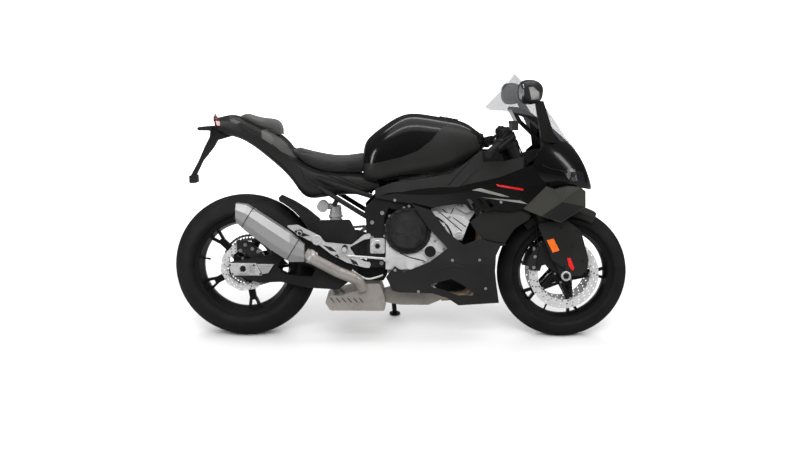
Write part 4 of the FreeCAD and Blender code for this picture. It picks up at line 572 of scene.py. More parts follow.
# one copy of the part at each point, made real and given its finish
def spreadOut(tree, given, part, rotation):
    spread = addNode(tree, 'GeometryNodeInstanceOnPoints', {
        'Points': given['Geometry'], 'Instance': part, 'Rotation': rotation})
    real = addNode(tree, 'GeometryNodeRealizeInstances', {'Geometry': spread.outputs['Instances']})
    coat = addNode(tree, 'GeometryNodeSetMaterial', {
        'Geometry': real.outputs['Geometry'], 'Material': given['Finish']})
    addNode(tree, 'NodeGroupOutput', {'Geometry': coat.outputs['Geometry']})


# socket-head screws: one at each point of a mesh, standing along its stored direction
def makeScrewTree():
    tree, given, keys = geometryTree('screwHeads', {
        'Head Radius': 'Float', 'Head Height': 'Float', 'Sides': 'Int', 'Socket Share': 'Float',
        'Finish': 'Material'})
    head = addNode(tree, 'GeometryNodeMeshCylinder', {
        'Vertices': given['Sides'], 'Radius': given['Head Radius'], 'Depth': given['Head Height']}).outputs
    rim = addNode(tree, 'GeometryNodeExtrudeMesh', {
        'Offset Scale': 0.0, 'Mesh': head['Mesh'], 'Selection': head['Top']}).outputs
    shrunk = addNode(tree, 'GeometryNodeScaleElements', {
        'Geometry': rim['Mesh'], 'Selection': rim['Top'], 'Scale': given['Socket Share']}).outputs['Geometry']
    depth = addNode(tree, 'ShaderNodeMath', {0: given['Head Height'], 1: -0.6},
                    operation='MULTIPLY').outputs[0]
    sunk = addNode(tree, 'GeometryNodeExtrudeMesh', {
        'Mesh': shrunk, 'Selection': rim['Top'], 'Offset Scale': depth}).outputs['Mesh']
    aim = addNode(tree, 'FunctionNodeAlignRotationToVector', {
        'Vector': storedValue(tree, 'facing', 'FLOAT_VECTOR')}, axis='Z').outputs['Rotation']
    spreadOut(tree, given, sunk, aim)
    return tree, keys


screwTree, screwKeys = makeScrewTree()


def runTree(name, mesh, tree, keys, settings):
    holder = addObject(name, mesh)
    modifier = holder.modifiers.new(name, 'NODES')
    modifier.node_group = tree
    for label, value in settings.items():
        modifier[keys[label]] = value
    result = evaluated(holder)
    holder.modifiers.remove(modifier)
    bpy.data.objects.remove(holder)
    return result


# spots hold (point, facing) pairs in the machine's frame
def screwSet(name, spots, radius, height, finishName, sides=12, socket=0.55, body='chassis'):
    spots = [(point, way) for point, way in spots if point is not None]
    mesh = bpy.data.meshes.new(name)
    raised = [at(*(Vector(point) + Vector(way).normalized() * height * 0.3)) for point, way in spots]
    mesh.from_pydata(raised, [], [])
    facing = mesh.attributes.new('facing', 'FLOAT_VECTOR', 'POINT')
    facing.data.foreach_set('vector', [value for _, way in spots for value in turn @ Vector(way)])
    result = runTree(name, mesh, screwTree, screwKeys, {
        'Head Radius': radius / 1000, 'Head Height': height / 1000, 'Sides': sides, 'Socket Share': socket,
        'Finish': finishes[finishName]})
    return settle(result, name, finishName, 30.0, body=body)


# copies of one small part: its own x runs along each point's heading and its z stands outwards
def makeCopyTree():
    tree, given, keys = geometryTree('spreadCopies', {'Part': 'Object', 'Finish': 'Material'})
    part = addNode(tree, 'GeometryNodeObjectInfo', {'Object': given['Part']}).outputs['Geometry']
    spreadOut(tree, given, part, storedValue(tree, 'spin', 'QUATERNION'))
    return tree, keys


copyTree, copyKeys = makeCopyTree()


def copiesMesh(name, part, spots, finishName):
    mesh = bpy.data.meshes.new(name)
    mesh.from_pydata([at(*point) for point, _, _ in spots], [], [])
    spin = mesh.attributes.new('spin', 'QUATERNION', 'POINT')
    values = []
    for _, ahead, out in spots:
        ahead = Vector(ahead).normalized()
        side = Vector(out).cross(ahead).normalized()
        values += (turn @ Matrix((ahead, side, ahead.cross(side))).transposed()).to_quaternion()[:]
    spin.data.foreach_set('value', values)
    partHolder = addObject(name + '_part', part)
    result = runTree(name, mesh, copyTree, copyKeys, {'Part': partHolder, 'Finish': finishes[finishName]})
    bpy.data.objects.remove(partHolder)
    return result


def copies(name, part, spots, finishName):
    return settle(copiesMesh(name, part, spots, finishName), name, finishName, 30.0)


# box with bevelled edges about a middle, its axes given as directions
def blockMesh(name, middlePoint, size, chamfer=1.5, ahead=(1, 0, 0), up=toTop, local=False):
    ahead = Vector(ahead).normalized()
    side = Vector(up).cross(ahead).normalized()
    rise = ahead.cross(side)
    work = bmesh.new()
    bmesh.ops.create_cube(work, size=1.0)
    for vertex in work.verts:
        vertex.co = [share * length for share, length in zip(vertex.co, size)]
    if chamfer > 0:
        bmesh.ops.bevel(work, geom=work.edges[:] + work.verts[:], offset=chamfer, segments=2, affect='EDGES')
    for vertex in work.verts:
        spot = Vector(middlePoint) + ahead * vertex.co.x + side * vertex.co.y + rise * vertex.co.z
        vertex.co = spot / 1000 if local else at(*spot)
    return freed(work, name)


def firstHit(nodeName, origin, way):
    hit, normal, _, _ = skinOf(nodeName).ray_cast(Vector(origin), Vector(way).normalized())
    return hit, normal


print('makers ready')

# tyres

tyres = {
    'front': {'node': 'tyre_front', 'body': 'front_wheel', 'centre': frontAxle, 'radius': 299.9,
              'crown': 60.0, 'halfWidth': 60.0, 'rimHalf': 44.5, 'grooves': 14, 'ahead': 1},
    'rear': {'node': 'tyre_rear', 'body': 'rear_wheel', 'centre': rearAxle, 'radius': 325.9, 'crown': 104.0,
             'halfWidth': 99.0, 'rimHalf': 76.0, 'grooves': 13, 'ahead': -1}}
tread = {'grooveDepth': 3.6, 'grooveHalf': 2.6, 'sweep': 0.55, 'reach': (0.12, 0.72), 'second': (0.4, 0.86),
         'around': 540, 'across': 56, 'wallSteps': 8, 'wallSwell': 3.0, 'seat': 215.9, 'crownShare': 0.985}


def grooveDepthAt(angle, share, spec):
    pitch = 2 * math.pi / spec['grooves']
    side = 1 if share > 0 else -1
    share = abs(share)
    depth = 0.0
    for low, high, shift, bow in ((*tread['reach'], 0.0, 1.0), (*tread['second'], 0.5, 0.7)):
        if low < share < high:
            run = (share - low) / (high - low)
            lead = spec['ahead'] * tread['sweep'] * bow * run ** 0.8 * pitch * 1.6
            offset = (angle + lead + (shift + (0.25 if side > 0 else 0.0)) * pitch) % pitch
            offset = min(offset, pitch - offset) * spec['radius']
            half = tread['grooveHalf'] * (1 - 0.5 * run)
            if offset < half * 1.8:
                depth = max(depth, tread['grooveDepth'] * min(1.0, (half * 1.8 - offset) / (half * 0.8)))
    return depth


def makeTyre(spec):
    around, across, steps, seat = tread['around'], tread['across'], tread['wallSteps'], tread['seat']
    crownCentre = spec['radius'] - spec['crown']
    edge = spec['halfWidth'] * tread['crownShare']
    wallTop = crownCentre + math.sqrt(spec['crown'] ** 2 - edge ** 2)
    wall = []
    for k in range(1, steps + 1):
        t = k / steps
        swell = math.sin(math.pi * t) * tread['wallSwell']
        wall.append((wallTop + (seat + 13.5 - wallTop) * t,
                     edge + (spec['rimHalf'] + 6.0 - edge) * t ** 1.5 + swell))
    wall += [(seat + 13.0, spec['rimHalf']), (seat, spec['rimHalf'])]
    corners, faces = [], []
    for i in range(around):
        angle = 2 * math.pi * i / around
        section = [(r, -y) for r, y in reversed(wall)]
        for k in range(across + 1):
            share = -1 + 2 * k / across
            y = edge * share
            r = crownCentre + math.sqrt(spec['crown'] ** 2 - y ** 2) - grooveDepthAt(angle, share, spec)
            section.append((r, y))
        section += wall
        for r, y in section:
            x, z = polarSpot(spec['centre'], r, angle)
            corners.append((x, y, z))
    count = len(section)
    for i in range(around):
        k = (i + 1) % around
        for j in range(count):
            m = (j + 1) % count
            faces.append((i * count + j, i * count + m, k * count + m, k * count + j))
    name = spec['node'] + '_treaded'
    piece = settle(solidMesh(name, corners, faces), name, 'tyreRubber', 50.0, spec['body'])
    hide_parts(spec['node'])


for spec in tyres.values():
    makeTyre(spec)
print('tyres made')

# brake discs: drilled rings on black carriers

frontDisc = {'centre': frontAxle, 'radius': 160.0, 'band': 46.0, 'inner': 69.0, 'lead': -1.5,
             'body': 'front_wheel',
             'sectors': 60, 'rows': 3, 'hole': 3.9, 'wave': 0.0, 'sweep': 9.0, 'windows': True, 'thick': 5.0}
discs = {
    'frontRight': {**frontDisc, 'side': -1}, 'frontLeft': {**frontDisc, 'side': 1},
    'rear': {**frontDisc, 'centre': rearAxle, 'radius': 110.0, 'band': 40.0, 'inner': 87.0, 'side': -1,
             'lead': -7.5, 'body': 'rear_wheel', 'sectors': 50, 'hole': 3.3, 'wave': 2.4, 'windows': False}}


# drilled ring: a polar grid of cells, every other one with a round hole through it
def ringMesh(name, ends, spec):
    sectors, rows, radius = spec['sectors'], spec['rows'], spec['radius']
    inner = radius - spec['band'] + 6
    corners, faces, index = [], [], {}

    def spot(u, v, face):
        angle = 2 * math.pi * (u / sectors) + math.radians(spec['sweep']) * v / rows
        wave = spec['wave'] * math.cos(2 * math.pi * u / sectors * 10)
        low, high = inner + wave, radius - spec['wave'] + wave
        r = low + (high - low) * v / rows
        key = (round(u * 2) % (2 * sectors), round(v * 2), face)
        if key not in index:
            index[key] = len(corners)
            x, z = polarSpot(spec['centre'], r, angle)
            corners.append((x, ends[face], z))
        return index[key]

    for i in range(sectors):
        for j in range(rows):
            outline = [(i, j), (i + .5, j), (i + 1, j), (i + 1, j + .5), (i + 1, j + 1), (i + .5, j + 1),
                       (i, j + 1), (i, j + .5)]
            loops = [[spot(u, v, face) for u, v in outline] for face in (0, 1)]
            if (i + j) % 2:
                faces += [tuple(loops[0]), tuple(reversed(loops[1]))]
                continue
            rings = []
            for face in (0, 1):
                middleAt = sum((Vector(corners[k]) for k in loops[face]), Vector()) / 8
                ring = []
                for k in loops[face]:
                    way = (Vector(corners[k]) - middleAt).normalized()
                    ring.append(len(corners))
                    corners.append(middleAt + way * spec['hole'])
                rings.append(ring)
            for k in range(8):
                m = (k + 1) % 8
                faces.append((loops[0][k], loops[0][m], rings[0][m], rings[0][k]))
                faces.append((loops[1][m], loops[1][k], rings[1][k], rings[1][m]))
                faces.append((rings[0][k], rings[0][m], rings[1][m], rings[1][k]))
    for i in range(2 * sectors):
        for v in (0, rows):
            a, b = i / 2, (i + 1) / 2
            faces.append((spot(a, v, 0), spot(b, v, 0), spot(b, v, 1), spot(a, v, 1)))
    return solidMesh(name, corners, faces)


def makeDisc(name, spec):
    centre, side, body = spec['centre'], spec['side'], spec['body']
    near, far = side * spec['inner'], side * (spec['inner'] + spec['thick'])
    piece = settle(ringMesh(name, (near, far), spec), name + '_band', 'discSteel', 30.0, body)
    inner = spec['radius'] - spec['band'] + 4.0
    star, openings, pins, bolts = [], [], [], []
    for i in range(5):
        base = math.radians(spec['lead'] + 72 * i)
        for reach, lead in ((50.0, -0.6), (inner - 12, -0.12), (inner + 4, -0.09), (inner + 4, 0.09),
                            (inner - 12, 0.12), (50.0, 0.6)):
            star.append(polarSpot(centre, reach, base + lead))
        openings.append([polarSpot(centre, inner - 22, base), polarSpot(centre, 54.0, base + 0.2),
                         polarSpot(centre, 54.0, base - 0.2)])
        for spots, reach, lead, sink in ((pins, inner + 1, 0, 1.0), (bolts, 41, 36, 0.5)):
            x, z = polarSpot(centre, reach, math.radians(spec['lead'] + lead + 72 * i))
            spots.append((Vector((x, far - side * sink, z)), Vector((0, side, 0))))
    outlines = [star, circle(centre.x, centre.z, 33.0, 40)] + (openings if spec['windows'] else [])
    carrier = plateMesh(name + '_carrier', outlines, near + side * 0.4, far - side * 0.4, 0.8)
    settle(carrier, name + '_carrier', 'rimBlack', 30.0, body)
    screwSet(name + '_buttons', pins, 7.0, 4.0, 'boltSteel', 16, 0.4, body)
    screwSet(name + '_bolts', bolts, 5.5, 5.0, 'boltSteel', body=body)
    return piece


for name, spec in discs.items():
    spec['piece'] = makeDisc(name, spec)
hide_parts('discs_front')
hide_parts('disc_rear')
print('discs made')

# wheel fittings: valves, rear sprocket and chain

wheelFittings = {
    'valves': (('front', 246, 12), ('rear', 171, 20)), 'valveLength': 30.0,
    'sprocketTeeth': 46, 'sprocketRoot': 106.5, 'sprocketTip': 113.0, 'sprocketY': (113.6, 120.4)}
chainLine = {'rear': 119.5, 'front': 53.5, 'frontCentre': (-30.0, 452.0), 'y': 117.0, 'pitch': 15.875}


def makeValves():
    for wheel, degrees, y in wheelFittings['valves']:
        spec = tyres[wheel]
        angle = math.radians(degrees)
        out = spoke(angle)
        hit, _ = firstHit('rim_' + wheel, spec['centre'] + acrossAxis * -y + out * 130, out)
        start = hit + out * 2 if hit else spec['centre'] + out * 200
        stem = turnedMesh('valve_' + wheel, start, -out, [
            (0, 6), (4, 6), (6, 4.2), (16, 3.8), (17, 4.6), (wheelFittings['valveLength'] - 1, 4.6),
            (wheelFittings['valveLength'], 3.6)], 14)
        settle(stem, 'valve_' + wheel, 'boltBlack', 30.0, spec['body'])


def makeSprocket():
    teeth = wheelFittings['sprocketTeeth']
    edge = []
    for i in range(teeth):
        for share, radius in ((-0.34, 'sprocketRoot'), (-0.12, 'sprocketTip'), (0.12, 'sprocketTip'),
                              (0.34, 'sprocketRoot')):
            edge.append(polarSpot(rearAxle, wheelFittings[radius], 2 * math.pi * (i + share) / teeth))
    slots = []
    for i in range(5):
        base = 2 * math.pi * (i + 0.5) / 5
        outer = [polarSpot(rearAxle, 94, base + 0.1 * k) for k in range(-4, 5)]
        inner = [polarSpot(rearAxle, 66, base + 0.085 * k) for k in range(4, -5, -1)]
        slots.append(outer + inner)
    low, high = wheelFittings['sprocketY']
    outlines = [edge, circle(rearAxle.x, rearAxle.z, 38, 40)] + slots
    mesh = plateMesh('rear_sprocket_toothed', outlines, low, high, 0.6)
    piece = settle(mesh, 'rear_sprocket_toothed', 'boltSteel', 30.0, body='rear_wheel')
    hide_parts('sprocket_rear')
    nuts = boltRing(rearAxle, 52, 5, high, 1)
    screwSet('rear_sprocket_nuts', nuts, 9.0, 8.0, 'boltSteel', 6, 0.5, 'rear_wheel')


# the loop's centre line: two arcs and the straight runs that touch both
def chainSpots():
    rear, front = Vector((rearAxle.x, rearAxle.z)), Vector(chainLine['frontCentre'])
    rearRadius, frontRadius = chainLine['rear'], chainLine['front']
    apart = front - rear
    heading = math.atan2(apart.y, apart.x)
    lean = math.acos((rearRadius - frontRadius) / apart.length)
    top, bottom = heading + lean, heading - lean
    run = apart.length * math.sin(lean)
    frontArc = frontRadius * 2 * lean
    rearArc = rearRadius * (2 * math.pi - 2 * lean)
    whole = 2 * run + frontArc + rearArc
    count = 2 * round(whole / chainLine['pitch'] / 2)
    spots = []
    for i in range(count):
        s = whole * (i + 0.5) / count
        if s < frontArc:
            centre, radius, angle, past = front, frontRadius, bottom + s / frontRadius, 0.0
        elif s < frontArc + run:
            centre, radius, angle, past = front, frontRadius, top, s - frontArc
        elif s < frontArc + run + rearArc:
            centre, radius, angle, past = rear, rearRadius, top + (s - frontArc - run) / rearRadius, 0.0
        else:
            centre, radius, angle, past = rear, rearRadius, bottom, s - frontArc - run - rearArc
        out = Vector((math.cos(angle), math.sin(angle)))
        spot = centre + out * radius + Vector((-out.y, out.x)) * past
        spots.append(((spot.x, chainLine['y'], spot.y), (-out.y, 0, out.x), (out.x, 0, out.y)))
    return spots


def makeChain():
    half = chainLine['pitch'] / 2
    outline = []
    for side in (1, -1):
        outline += [(side * half + 6.4 * math.cos(a) * side, 6.4 * math.sin(a) * side)
                    for a in (math.radians(d) for d in (-72, -36, 0, 36, 72))]
        outline.append((0, 4.4 * side))
    outer, inner = [], []
    for side in (-1, 1):
        outer.append(localPlate('outerPlate', [outline], side * 6.3, side * 7.9))
        inner.append(localPlate('innerPlate', [outline], side * 4.4, side * 6.0))
        pin, roller = [(-8.8, 2.6), (8.8, 2.6)], [(-4.3, 5.0), (4.3, 5.0)]
        outer.append(turnedMesh('pin', (side * half, 0, 0), toLeft, pin, 8, True))
        inner.append(turnedMesh('roller', (side * half, 0, 0), toLeft, roller, 10, True))
    spots = chainSpots()
    both = [copiesMesh('chainOuter', joined(outer, 'outerLink'), spots[0::2], 'chainSteel'),
            copiesMesh('chainInner', joined(inner, 'innerLink'), spots[1::2], 'chainSteel')]
    piece = assemble(both, 'chain_links', 'chainSteel', 30.0)
    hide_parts('chain')


makeValves()
makeSprocket()
makeChain()
print('wheel fittings made')

# steering: caps, bolts, grips, switches, hoses and cables

front = {
    'legHalf': 106.0, 'legOffset': 34.0, 'capAlong': 712.0, 'barAlong': 679.0,
    'barDrop': (-108.0, 264.0, -62.0),
    'gripLength': 125.0, 'gripRadius': 17.3, 'ridge': 1.5, 'ridges': 17, 'hoseRadius': 3.4}


def barLine(side):
    root = forkSpot(front['barAlong'], front['legOffset'], side * front['legHalf'])
    end = root + Vector((front['barDrop'][0], side * front['barDrop'][1], front['barDrop'][2]))
    return root, end, (end - root).normalized()


def makeForkFittings():
    caps, rings, tubes = [], [], []
    for side in (-1, 1):
        for parts, along, profile, steps in (
                (caps, front['capAlong'], [(-1, 24), (5, 24), (7, 21), (12, 20), (13, 16), (13, 9),
                                           (17, 8.5), (18, 7), (18, 3), (15, 2.6)], 24),
                (rings, 240, [(-9, 23), (-9, 28.6), (-2, 29.4), (10, 29.4), (12, 27.5)], 32),
                (tubes, 52, [(0, 22.4), (183, 22.4)], 32)):
            spot = forkSpot(along, front['legOffset'], side * front['legHalf'])
            parts.append(turnedMesh('legPart', spot, steerUp, profile, steps))
    assemble(caps, 'fork_caps', 'boltBlack', 30.0, body='steering')
    assemble(rings, 'fork_seals', 'mouldedBlack', 30.0, body='steering')
    assemble(tubes, 'fork_tubes', 'boltSteel', 30.0, body='steering')
    nut = turnedMesh('stem_nut', forkSpot(655, 0, 0), steerUp,
                     [(0, 17), (10, 17), (12, 15), (12, 9), (4, 8.5)], 6)
    settle(nut, 'stem_nut', 'boltSteel', 20.0, body='steering')
    spots = []
    for along, offsets in ((452, (72, 84)), (644, (84,)), (679, (106,))):
        for side in (-1, 1):
            for y in offsets:
                hit, _ = firstHit('triple_clamps' if along < 660 else 'handlebars',
                                  forkSpot(along, -300, side * y), steerAhead)
                if hit:
                    spots.append((hit, -steerAhead))
    screwSet('clamp_bolts', spots, 6.0, 6.0, 'boltSteel', body='steering')


def makeGrips():
    grips, pods, buttons, cables = [], [], [], []
    for side in (-1, 1):
        root, end, along = barLine(side)
        start = end - along * front['gripLength']
        length, radius = front['gripLength'], front['gripRadius']
        profile = [(-3, 16), (-3, 24), (1, 25), (3, 22)]
        pitch = (length - 12) / front['ridges']
        for i in range(front['ridges']):
            low, crest = 6 + i * pitch, radius + front['ridge']
            profile += [(low, radius), (low + pitch * 0.35, crest), (low + pitch * 0.7, crest)]
        profile += [(length - 5, radius + 0.6), (length - 3, 16)]
        grips.append(turnedMesh('grip', start, along, profile, 28))
        podAt = start - along * 22 + Vector((2, 0, 5))
        pods.append(blockMesh('pod', podAt, (36, 38, 36), 6.0, along, (0.5, 0, 1)))
        face = podAt + Vector((-19, 0, 5))
        for shift, rise, size in ((-9, 6, 7), (7, 8, 5), (-2, -9, 6), (10, -7, 4.5)):
            spot = face + along * shift + Vector((2, 0, rise))
            profile = [(0, size), (5, size), (6, size - 1.5)]
            buttons.append(turnedMesh('button', spot, (-1, 0, 0.15), profile, 12))
        cables.append(tubeMesh('cable', [podAt - along * 14, podAt - along * 58 + Vector((-6, 0, 14)),
                                         root + Vector((16, 0, 28)), forkSpot(698, 34, side * 64),
                                         forkSpot(686, 14, side * 34), forkSpot(662, 22, side * 28)], 3.6))
        cables.append(tubeMesh('wire', [podAt - along * 12 + Vector((4, 0, -10)), podAt - along * 64,
                                        root + Vector((20, 0, 8)), forkSpot(690, 46, side * 58),
                                        forkSpot(662, 44, side * 42)], 2.6))
    assemble(grips, 'grip_rubbers', 'gripRubber', 40.0, body='steering')
    assemble(pods, 'switch_housings', 'mouldedBlack', 40.0, body='steering')
    assemble(buttons, 'switch_buttons', 'boltBlack', 30.0, body='steering')
    assemble(cables, 'control_cables', 'gripRubber', 50.0, body='steering')


def makeBrakeLines():
    hoses, fittings = [], []
    cup = Vector((475, -153, 950))
    root, _, along = barLine(-1)
    feed = [cup + Vector((0, 0, -6)), cup + Vector((8, 4, -30)), root + along * 46 + Vector((26, 0, 0)),
            root + along * 60 + Vector((14, 0, 4))]
    hoses.append(tubeMesh('feed', feed, 4.4))
    for side in (-1, 1):
        leg = [forkSpot(660, 66, side * 72), forkSpot(560, 70, side * 70), forkSpot(440, 78, side * 70),
               forkSpot(330, 30, side * 74), forkSpot(230, -8, side * 76), forkSpot(150, -30, side * 78)]
        hit, _ = firstHit('calipers_front', forkSpot(500, -46, side * 68), -steerUp)
        leg += [hit + steerUp * 14, hit + steerUp * 3]
        union = [(0, 8), (9, 8), (10, 6), (15, 5.5)]
        fittings.append(turnedMesh('banjo', hit - steerUp, steerUp, union, 12))
        hoses.append(tubeMesh('hose', leg, front['hoseRadius']))
    assemble(hoses, 'brake_hoses', 'gripRubber', 50.0, body='steering')
    assemble(fittings, 'hose_fittings', 'boltSteel', 30.0, body='steering')
    lid = turnedMesh('reservoir_lid', (475, -154, 985), toTop,
                     [(0, 21.5), (1, 23), (9, 23), (11, 21), (11.5, 12)], 20)
    settle(lid, 'reservoir_lid', 'mouldedBlack', 30.0, body='steering')
    pins = []
    for side in (-1, 1):
        for along, forward in ((150, -86), (96, -110), (128, -58), (84, -82)):
            spot = forkSpot(along, forward, 0)
            hit, _ = surfaceSpot('calipers_front', spot.x, spot.z, side, 200)
            pins.append((hit, (0, side, 0)))
    screwSet('caliper_bolts', pins, 7.5, 5.0, 'boltSteel', body='steering')


# fender: side reflectors, tags and bolts
fenderMarks = {
    'reflector': ((636, 464), (667, 471), (695, 417), (664, 407)),
    'tag': ((731, 383), (745, 383), (764, 337), (757, 325), (739, 346)),
    'bolts': ((772, 505), (700, 520), (655, 430), (722, 345), (800, 372), (752, 440))}


def makeFenderMarks():
    marks, tags, bolts = [], [], []
    for side in (-1, 1):
        marks.append(patchMesh('reflector', 'fender_front', fenderMarks['reflector'], side, 2.6, 8.0, 3.0))
        tags.append(patchMesh('tag', 'fender_front', fenderMarks['tag'], side, 1.6, 8.0, 2.0))
        bolts += [spot for spot in sideSpots('fender_front', fenderMarks['bolts'], side)
                  if spot[0] and abs(spot[0].y) > 100]
    assemble(marks, 'side_reflectors', 'reflectorOrange', 30.0, body='steering')
    assemble(tags, 'fender_tags', 'tagRed', 30.0, body='steering')
    screwSet('fender_bolts', bolts, 5.0, 3.0, 'boltBlack', body='steering')


def makeAxleCaps():
    for name, centre, body, ends in (('front', frontAxle, 'steering', (141, 141)),
                                     ('rear', rearAxle, 'chassis', (150, 165))):
        caps, nuts = [], []
        for side, end in zip((-1, 1), ends):
            face = centre + acrossAxis * side * (end - 1)
            caps.append(turnedMesh('cap', face, acrossAxis * side, [
                (0, 22), (4, 22), (5.5, 20), (5.5, 16), (1.5, 15)], 32))
            nuts.append(turnedMesh('nut', face, acrossAxis * side, [
                (0, 14.5), (2, 14.5), (2, 12), (6, 12), (7, 11), (7, 7), (3, 6)], 6))
        assemble(caps, 'axle_caps_' + name, 'milledSilver', 25.0, body=body)
        assemble(nuts, 'axle_nuts_' + name, 'boltBlack', 25.0, body=body)


makeForkFittings()
makeGrips()
makeBrakeLines()
makeFenderMarks()
makeAxleCaps()
print('steering fitted')

# mirror glass, lamps' insides and instrument face

lampMarks = {
    'mirrorLens': ((504, 1141), (523, 1143), (550, 1118), (551, 1093), (516, 1088)),
    'projectors': ((758, 122, 758), (752, 132, 738)), 'projectorRadius': 9.0}


def makeMirrorGlass():
    lenses = [patchMesh('lens', 'mirrors', lampMarks['mirrorLens'], side, 0.9, 6.0, 1.6) for side in (-1, 1)]
    assemble(lenses, 'mirror_lenses', 'signalLens', 40.0)
    glasses, ahead = [], Vector((1, 0, 0))
    for side in (-1, 1):
        ring = [(side * 381 + 36 * math.cos(a), 1124 + 34 * math.sin(a))
                for a in (2 * math.pi * i / 28 for i in range(28))]
        glasses.append(layPatch('glass', 'mirrors', ring, lambda y, z: Vector((-900, y, z)), ahead, 0.8, 9.0,
                                1.4))
    assemble(glasses, 'mirror_glass', 'mirrorGlass', 60.0)


def makeLampInsides():
    bowls, bulbs = [], []
    for side in (-1, 1):
        for x, y, z in lampMarks['projectors']:
            spot, way = Vector((x, side * y, z)), Vector((0.8, side * 0.6, -0.05))
            radius = lampMarks['projectorRadius']
            bowls.append(turnedMesh('bowl', spot, way, [
                (-14, radius + 3), (0, radius + 3), (1, radius + 1), (-2, radius)], 20))
            bulbs.append(turnedMesh('bulb', spot, way, [
                (-6, radius), (-2, radius), (1, radius * 0.8), (3, radius * 0.4), (3.4, 0)], 20))
    assemble(bowls, 'projector_rings', 'boltSteel', 30.0)
    assemble(bulbs, 'projector_lenses', 'reflectorBowl', 50.0)
    low, high = Vector((508, 0, 985)), Vector((472, 0, 1052))
    rise = (high - low).normalized()
    out = Vector((-rise.z, 0, rise.x))
    middlePoint = (low + high) / 2 + out * 0.6
    face = blockMesh('screen', middlePoint, (64, 152, 2.4), 0.8, rise, out)
    settle(face, 'instrument_screen', 'screenGlass', 40.0)
    rim = blockMesh('rim', middlePoint - out * 3, (72, 164, 6), 2.6, rise, out)
    settle(rim, 'instrument_rim', 'mouldedBlack', 40.0)


makeMirrorGlass()
makeLampInsides()
print('mirrors and lamps fitted')

# engine: clutch cover, caps, webs, bolts, the dark lines round them and a patch of painted shade on the case

engineMarks = {
    'ringBolts': ((14, 616), (-8, 608), (41, 600), (-88, 530), (-94, 481), (-72, 571)), 'ringSteps': 18,
    'webs': (((104, 498), (136, 473), (155, 437), (172, 416)),
             ((65, 409), (84, 373), (120, 364), (159, 401)),
             ((110, 470), (128, 440)), ((140, 414), (168, 410)), ((104, 384), (112, 364)),
             ((66, 430), (84, 420))),
    'caseBolts': ((172, 424), (158, 396), (137, 380), (84, 366), (100, 492), (-69, 436), (65, 436),
                  (130, 460)),
    'seam': ((-24, 404), (12, 386), (48, 378), (84, 369), (106, 373)),
    'caps': ((110, 414, 24, -181), (24, 352, 20, -163)),
    'headHose': ((136, 566), (158, 553), (195, 521), (209, 481)),
    'darkSide': ((-86, 474), (-86, 690), (92, 690), (124, 632), (104, 560), (40, 474)),
    'headLines': (((150, 589), (202, 546), (253, 503)), ((166, 598), (218, 560), (271, 522)),
                  ((186, 560), (206, 584), (216, 606))),
    'headBolts': ((150, 588), (196, 566), (222, 530), (172, 522)),
    'bracket': ((216, 616), (252, 612), (256, 634), (269, 625), (279, 607), (292, 607), (292, 594),
                (279, 585), (261, 589)), 'bracketY': (-158, -150)}


def caseSpot(x, z, lift):
    hit, _ = surfaceSpot('engine_block', x, z)
    return hit - acrossAxis * lift if hit else None


def makeClutchDetails():
    centre = Vector((10, 0, 505))
    ribs = []
    for i in range(5):
        angle = math.radians(-100 + 72 * i)
        out = spoke(angle)
        spot = centre + out * 32 - acrossAxis * 236.5
        ribs.append(blockMesh('rib', spot, (44, 5.5, 4.0), 1.4, out, toRight))
    ribs.append(turnedMesh('boss', centre - acrossAxis * 234, toRight,
                           [(0, 17), (4, 15.5), (4.6, 11), (2.6, 10)], 28))
    ribs.append(turnedMesh('edge', centre - acrossAxis * 176, toRight,
                           [(-2, 97), (3, 96.5), (4, 93), (-1, 90)], 72))
    assemble(ribs, 'clutch_star', 'castBlack', 35.0)
    bolts = boltRing(centre, 98, engineMarks['ringSteps'], -177, -1, 0.3)
    screwSet('clutch_ring_bolts', bolts, 5.0, 5.0, 'boltBlack')
    bright = [((x, -168, z), toRight) for x, z in engineMarks['ringBolts']]
    screwSet('case_rim_bolts', bright, 6.0, 7.0, 'boltSteel')


def makeCaseDetails():
    webs, darks, caps = [], [], []
    for line in engineMarks['webs']:
        points = [caseSpot(x, z, 1.4) for x, z in line]
        if all(points):
            webs.append(tubeMesh('web', points, 3.6, False))
    assemble(webs, 'case_webs', 'castSilver', 50.0)
    # painted shade: a dark patch on the case's right side above the clutch cover
    shade = patchMesh('shade', 'engine_block', engineMarks['darkSide'], -1, 0.5, 12.0)
    settle(shade, 'case_shade', 'castBlack', 40.0)
    for key, radius in (('seam', 2.2), ('headHose', 4.0)):
        points = [caseSpot(x, z, 1.0 if key == 'seam' else 4.0) for x, z in engineMarks[key]]
        points = [point for point in points if point]
        if len(points) > 1:
            darks.append(tubeMesh(key, points, radius))
    for line in engineMarks['headLines']:
        points = [caseSpot(x, z, 0.6) for x, z in line]
        if all(points):
            darks.append(tubeMesh('groove', points, 1.9, False))
    assemble(darks, 'case_lines', 'gripRubber', 50.0)
    for x, z, radius, y in engineMarks['caps']:
        caps.append(turnedMesh('cap', (x, y, z), toRight, [
            (0, radius + 1), (3, radius + 1), (4.5, radius - 1), (4.5, radius - 6), (3, radius - 7)], 30))
    assemble(caps, 'case_caps', 'boltBlack', 30.0)
    bolts = [(caseSpot(x, z, 1.0), toRight) for x, z in engineMarks['caseBolts'] + engineMarks['headBolts']]
    screwSet('case_bolts', bolts, 5.5, 6.0, 'boltSteel')
    boss = [turnedMesh('boss', (240, -160, 484), toRight,
                       [(0, 19), (5, 19), (6.5, 17), (6.5, 13), (3, 12)], 28),
            turnedMesh('bolt', (240, -162, 484), toRight, [(0, 9), (7, 9), (8, 7.5), (8, 4), (3, 3.6)], 6),
            turnedMesh('collar', (209, -150, 481), toRight, [(0, 8), (9, 8), (10, 6), (10, 3)], 16)]
    low, high = engineMarks['bracketY']
    boss.append(plateMesh('bracket', [engineMarks['bracket'], circle(240, 618, 5, 12)], low, high, 1.2))
    assemble(boss, 'engine_mounts', 'milledSilver', 30.0)


